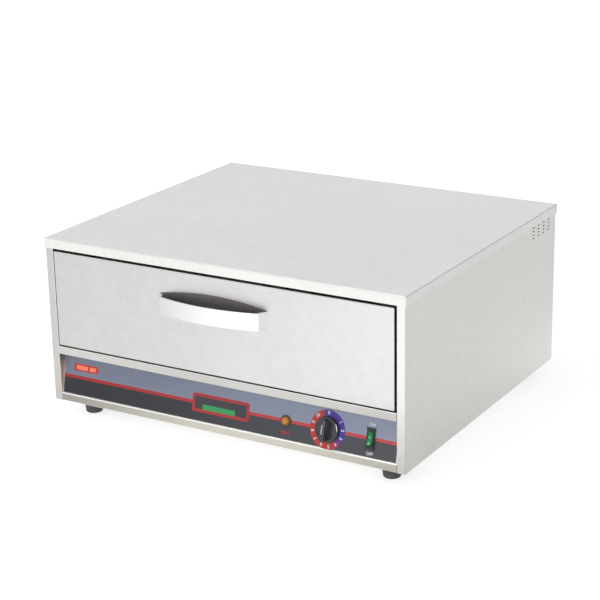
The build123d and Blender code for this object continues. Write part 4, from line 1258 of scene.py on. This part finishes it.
pick("EDGE", lambda place, direction: abs(direction.z) > 0.9 and at_rim_corner(place))
bpy.ops.mesh.bevel(offset=rim_corner, segments=5)
pick("EDGE", lambda place, direction: abs(direction.z) < 0.1 and on_rim(place))
bpy.ops.mesh.bevel(offset=rim_edge, segments=3)
close_shape()
print("switch frame", rim_width, "by", rim_height, "m")

# %% Holes for the pegs
peg_radius = 0.0015
peg_play = 0.00005
peg_hole_length = 0.0100
across_panel = (0, math.pi / 2, 0)
peg_hole = start(
    bpy.ops.mesh.primitive_cylinder_add, "peg_hole", (switch_x, 0, 0),
    vertices=32, radius=peg_radius + peg_play, depth=peg_hole_length, rotation=across_panel,
)
apply_boolean(switch_frame, peg_hole, "DIFFERENCE")
complete(switch_frame, black_plastic, "cabinet", ["switch_housing"])

# %% Rocker
rocker_width = 0.008
rocker_radius = 0.0102
rocker_crown = 0.0033
half_throw = math.radians(8.0)
wing = 0.0204
wing_rise = wing * math.tan(half_throw)
wedge_size = 0.02
rocker = start(
    bpy.ops.mesh.primitive_cylinder_add, "green_rocker", (switch_x, 0, 0),
    vertices=128, radius=rocker_radius, depth=rocker_width, rotation=across_panel,
)
wedge = start(
    bpy.ops.mesh.primitive_cube_add, "rocker_wedge", (switch_x, 0, rocker_crown + wedge_size / 2),
    (wedge_size, 2 * wing, wedge_size), size=1,
)
bpy.ops.mesh.bisect(plane_co=(switch_x, 0, 0), plane_no=(0, 1, 0))
pick("VERT", lambda place, normal: place.z < rocker_crown + hair and abs(place.y) > wing / 2)
bpy.ops.transform.translate(value=(0, 0, wing_rise))
close_shape()
apply_boolean(rocker, wedge, "DIFFERENCE")
print("rocker cut to a V of", round(math.degrees(2 * half_throw), 1), "degrees")

# %% Rounded edges, pegs and the turn to rest
valley_half = 0.0005
tip_from = 0.0088
rocker_edge = 0.00045
pegs_beyond = 0.0017


def on_face(place):
    """True on the two faces of the V, away from its valley."""
    face_level = rocker_crown + abs(place.y) * math.tan(half_throw)
    return abs(place.z - face_level) < 2 * hair and abs(place.y) > valley_half


def at_border(place):
    """True along the rocker's two sides and at its two tips."""
    return abs(place.x - switch_x) > rocker_width / 2 - hair or abs(place.y) > tip_from


bpy.ops.object.mode_set(mode="EDIT")
pick("EDGE", lambda place, direction: on_face(place) and at_border(place))
bpy.ops.mesh.bevel(offset=rocker_edge, segments=4)
close_shape()
peg = start(
    bpy.ops.mesh.primitive_cylinder_add, "rocker_peg", (switch_x, 0, 0),
    vertices=32, radius=peg_radius, depth=rocker_width + pegs_beyond, rotation=across_panel,
)
apply_boolean(rocker, peg, "UNION")
bpy.ops.object.mode_set(mode="EDIT")
bpy.ops.mesh.select_all(action="SELECT")
bpy.ops.transform.rotate(value=half_throw, orient_axis="X", center_override=(switch_x, 0, 0))
close_shape()
bpy.ops.object.mode_set(mode="OBJECT")
outermost = max(rocker.data.vertices, key=lambda vertex: vertex.co.z)
print("rocker stands out", round(outermost.co.z, 5), "at", round(outermost.co.y, 4), "up the panel")
complete(rocker, green_rocker, "switch_rocker", ["switch_rocker"])

# %% [markdown]
# ## Marks on the rocker
# A short bar and a ring, printed in pale ink, say which half is on and which is off. They are too small to
# model, so the rocker's own finish draws them: each is a distance on the face that turns into ink below a
# limit. The upper half lies deeper and gets less light, so it is shaded a little.

# %% Bar and ring
mark_colour = (0.62, 0.70, 0.62)
marks_left = 0.0007
bar_up = 0.0018
bar_half_width = 0.0008
bar_half_height = 0.0015
ring_down = 0.0062
ring_half_width = 0.0013
ring_half_height = 0.0021
ring_line_middle = 0.66
ring_line_half = 0.34
place = green_rocker.place()
across = green_rocker.part(place, "X") - switch_x + marks_left
upward = green_rocker.along(place, panel_up) - control_line
shaded = green_rocker.shade(
    green_rocker.fed("Base Color"), 1.0 - green_rocker.fade(upward, 0.0035, 0.0065) * 0.18
)
off_bar = green_rocker.math(
    "MAXIMUM", abs(across) / bar_half_width, abs(upward - bar_up) / bar_half_height
)
ring_reach = ((across / ring_half_width) ** 2 + ((upward + ring_down) / ring_half_height) ** 2) ** 0.5
off_ring = abs(ring_reach - ring_line_middle) / ring_line_half
mark = 1.0 - green_rocker.fade(green_rocker.math("MINIMUM", off_bar, off_ring), 0.85, 1.0)
green_rocker.feed(Base_Color=green_rocker.mix(mark, shaded, mark_colour))
print("rocker marked with a bar and a ring")

# %% [markdown]
# ## Cable gland
# A nylon gland closes the hole for the cable: a hexagon to hold it with a spanner, a threaded stub through
# the sheet, and a domed nut with finger ribs. A spun outline would make the round parts but not the
# hexagon. All are solids on one axis, so they are shaped one by one, joined and bored through.

# %% Hexagon
stub_length = 0.012
hexagon_half = 0.012
hexagon_depth = 0.007
hexagon_edge = 0.0009
gland_low, gland_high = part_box("cable_gland")
gland_x = (gland_low.x + gland_high.x) / 2
gland_z = (gland_low.z + gland_high.z) / 2
gland_back = gland_high.y
sheet_face = gland_low.y + stub_length
gland = start(
    bpy.ops.mesh.primitive_cylinder_add, "gland_body", (gland_x, sheet_face + hexagon_depth / 2, gland_z),
    vertices=6, radius=hexagon_half / math.cos(math.pi / 6), depth=hexagon_depth,
    rotation=(math.pi / 2, math.pi / 6, 0),
)
pick("EDGE", lambda place, direction: place.y > sheet_face + hexagon_depth - hair)
bpy.ops.mesh.bevel(offset=hexagon_edge, segments=3)
close_shape()
print("hexagon", 2 * hexagon_half, "m across its flats")


# %% Domed nut
def gland_round(name, radius, near, far, vertices):
    """A round solid on the gland's axis, from one depth to another."""
    return start(
        bpy.ops.mesh.primitive_cylinder_add, name, (gland_x, (near + far) / 2, gland_z),
        vertices=vertices, radius=radius, depth=far - near, rotation=(-math.pi / 2, 0, 0),
    )


dome_radius = 0.0095
dome_from = 0.004
dome_edge = 0.003
dome_sides = 72
rib_margin = 0.0001
rib_depth = 0.0005
dome = gland_round("gland_dome", dome_radius, sheet_face + dome_from, gland_back, dome_sides)
pick("EDGE", lambda place, direction: place.y > gland_back - hair)
bpy.ops.mesh.bevel(offset=dome_edge, segments=6)
pick(
    "FACE",
    lambda place, normal: abs(normal.y) < 0.1
    and nth_side(place.x - gland_x, place.z - gland_z, dome_sides, step=3),
)
bpy.ops.mesh.inset(thickness=rib_margin, depth=-rib_depth, use_individual=True)
close_shape()
apply_boolean(gland, dome, "UNION")
print("nut with", dome_sides // 3, "finger grooves")

# %% Stub and bore
stub_radius = 0.008
stub_overlap = 0.001
bore_radius = 0.0042
bore_over = 0.002
stub = gland_round("gland_stub", stub_radius, gland_low.y, sheet_face + stub_overlap, 64)
apply_boolean(gland, stub, "UNION")
bore = gland_round("gland_bore", bore_radius, gland_low.y - bore_over, gland_back + bore_over, 48)
apply_boolean(gland, bore, "DIFFERENCE")
complete(gland, black_plastic, "cabinet", ["cable_gland"], on_panel=False)
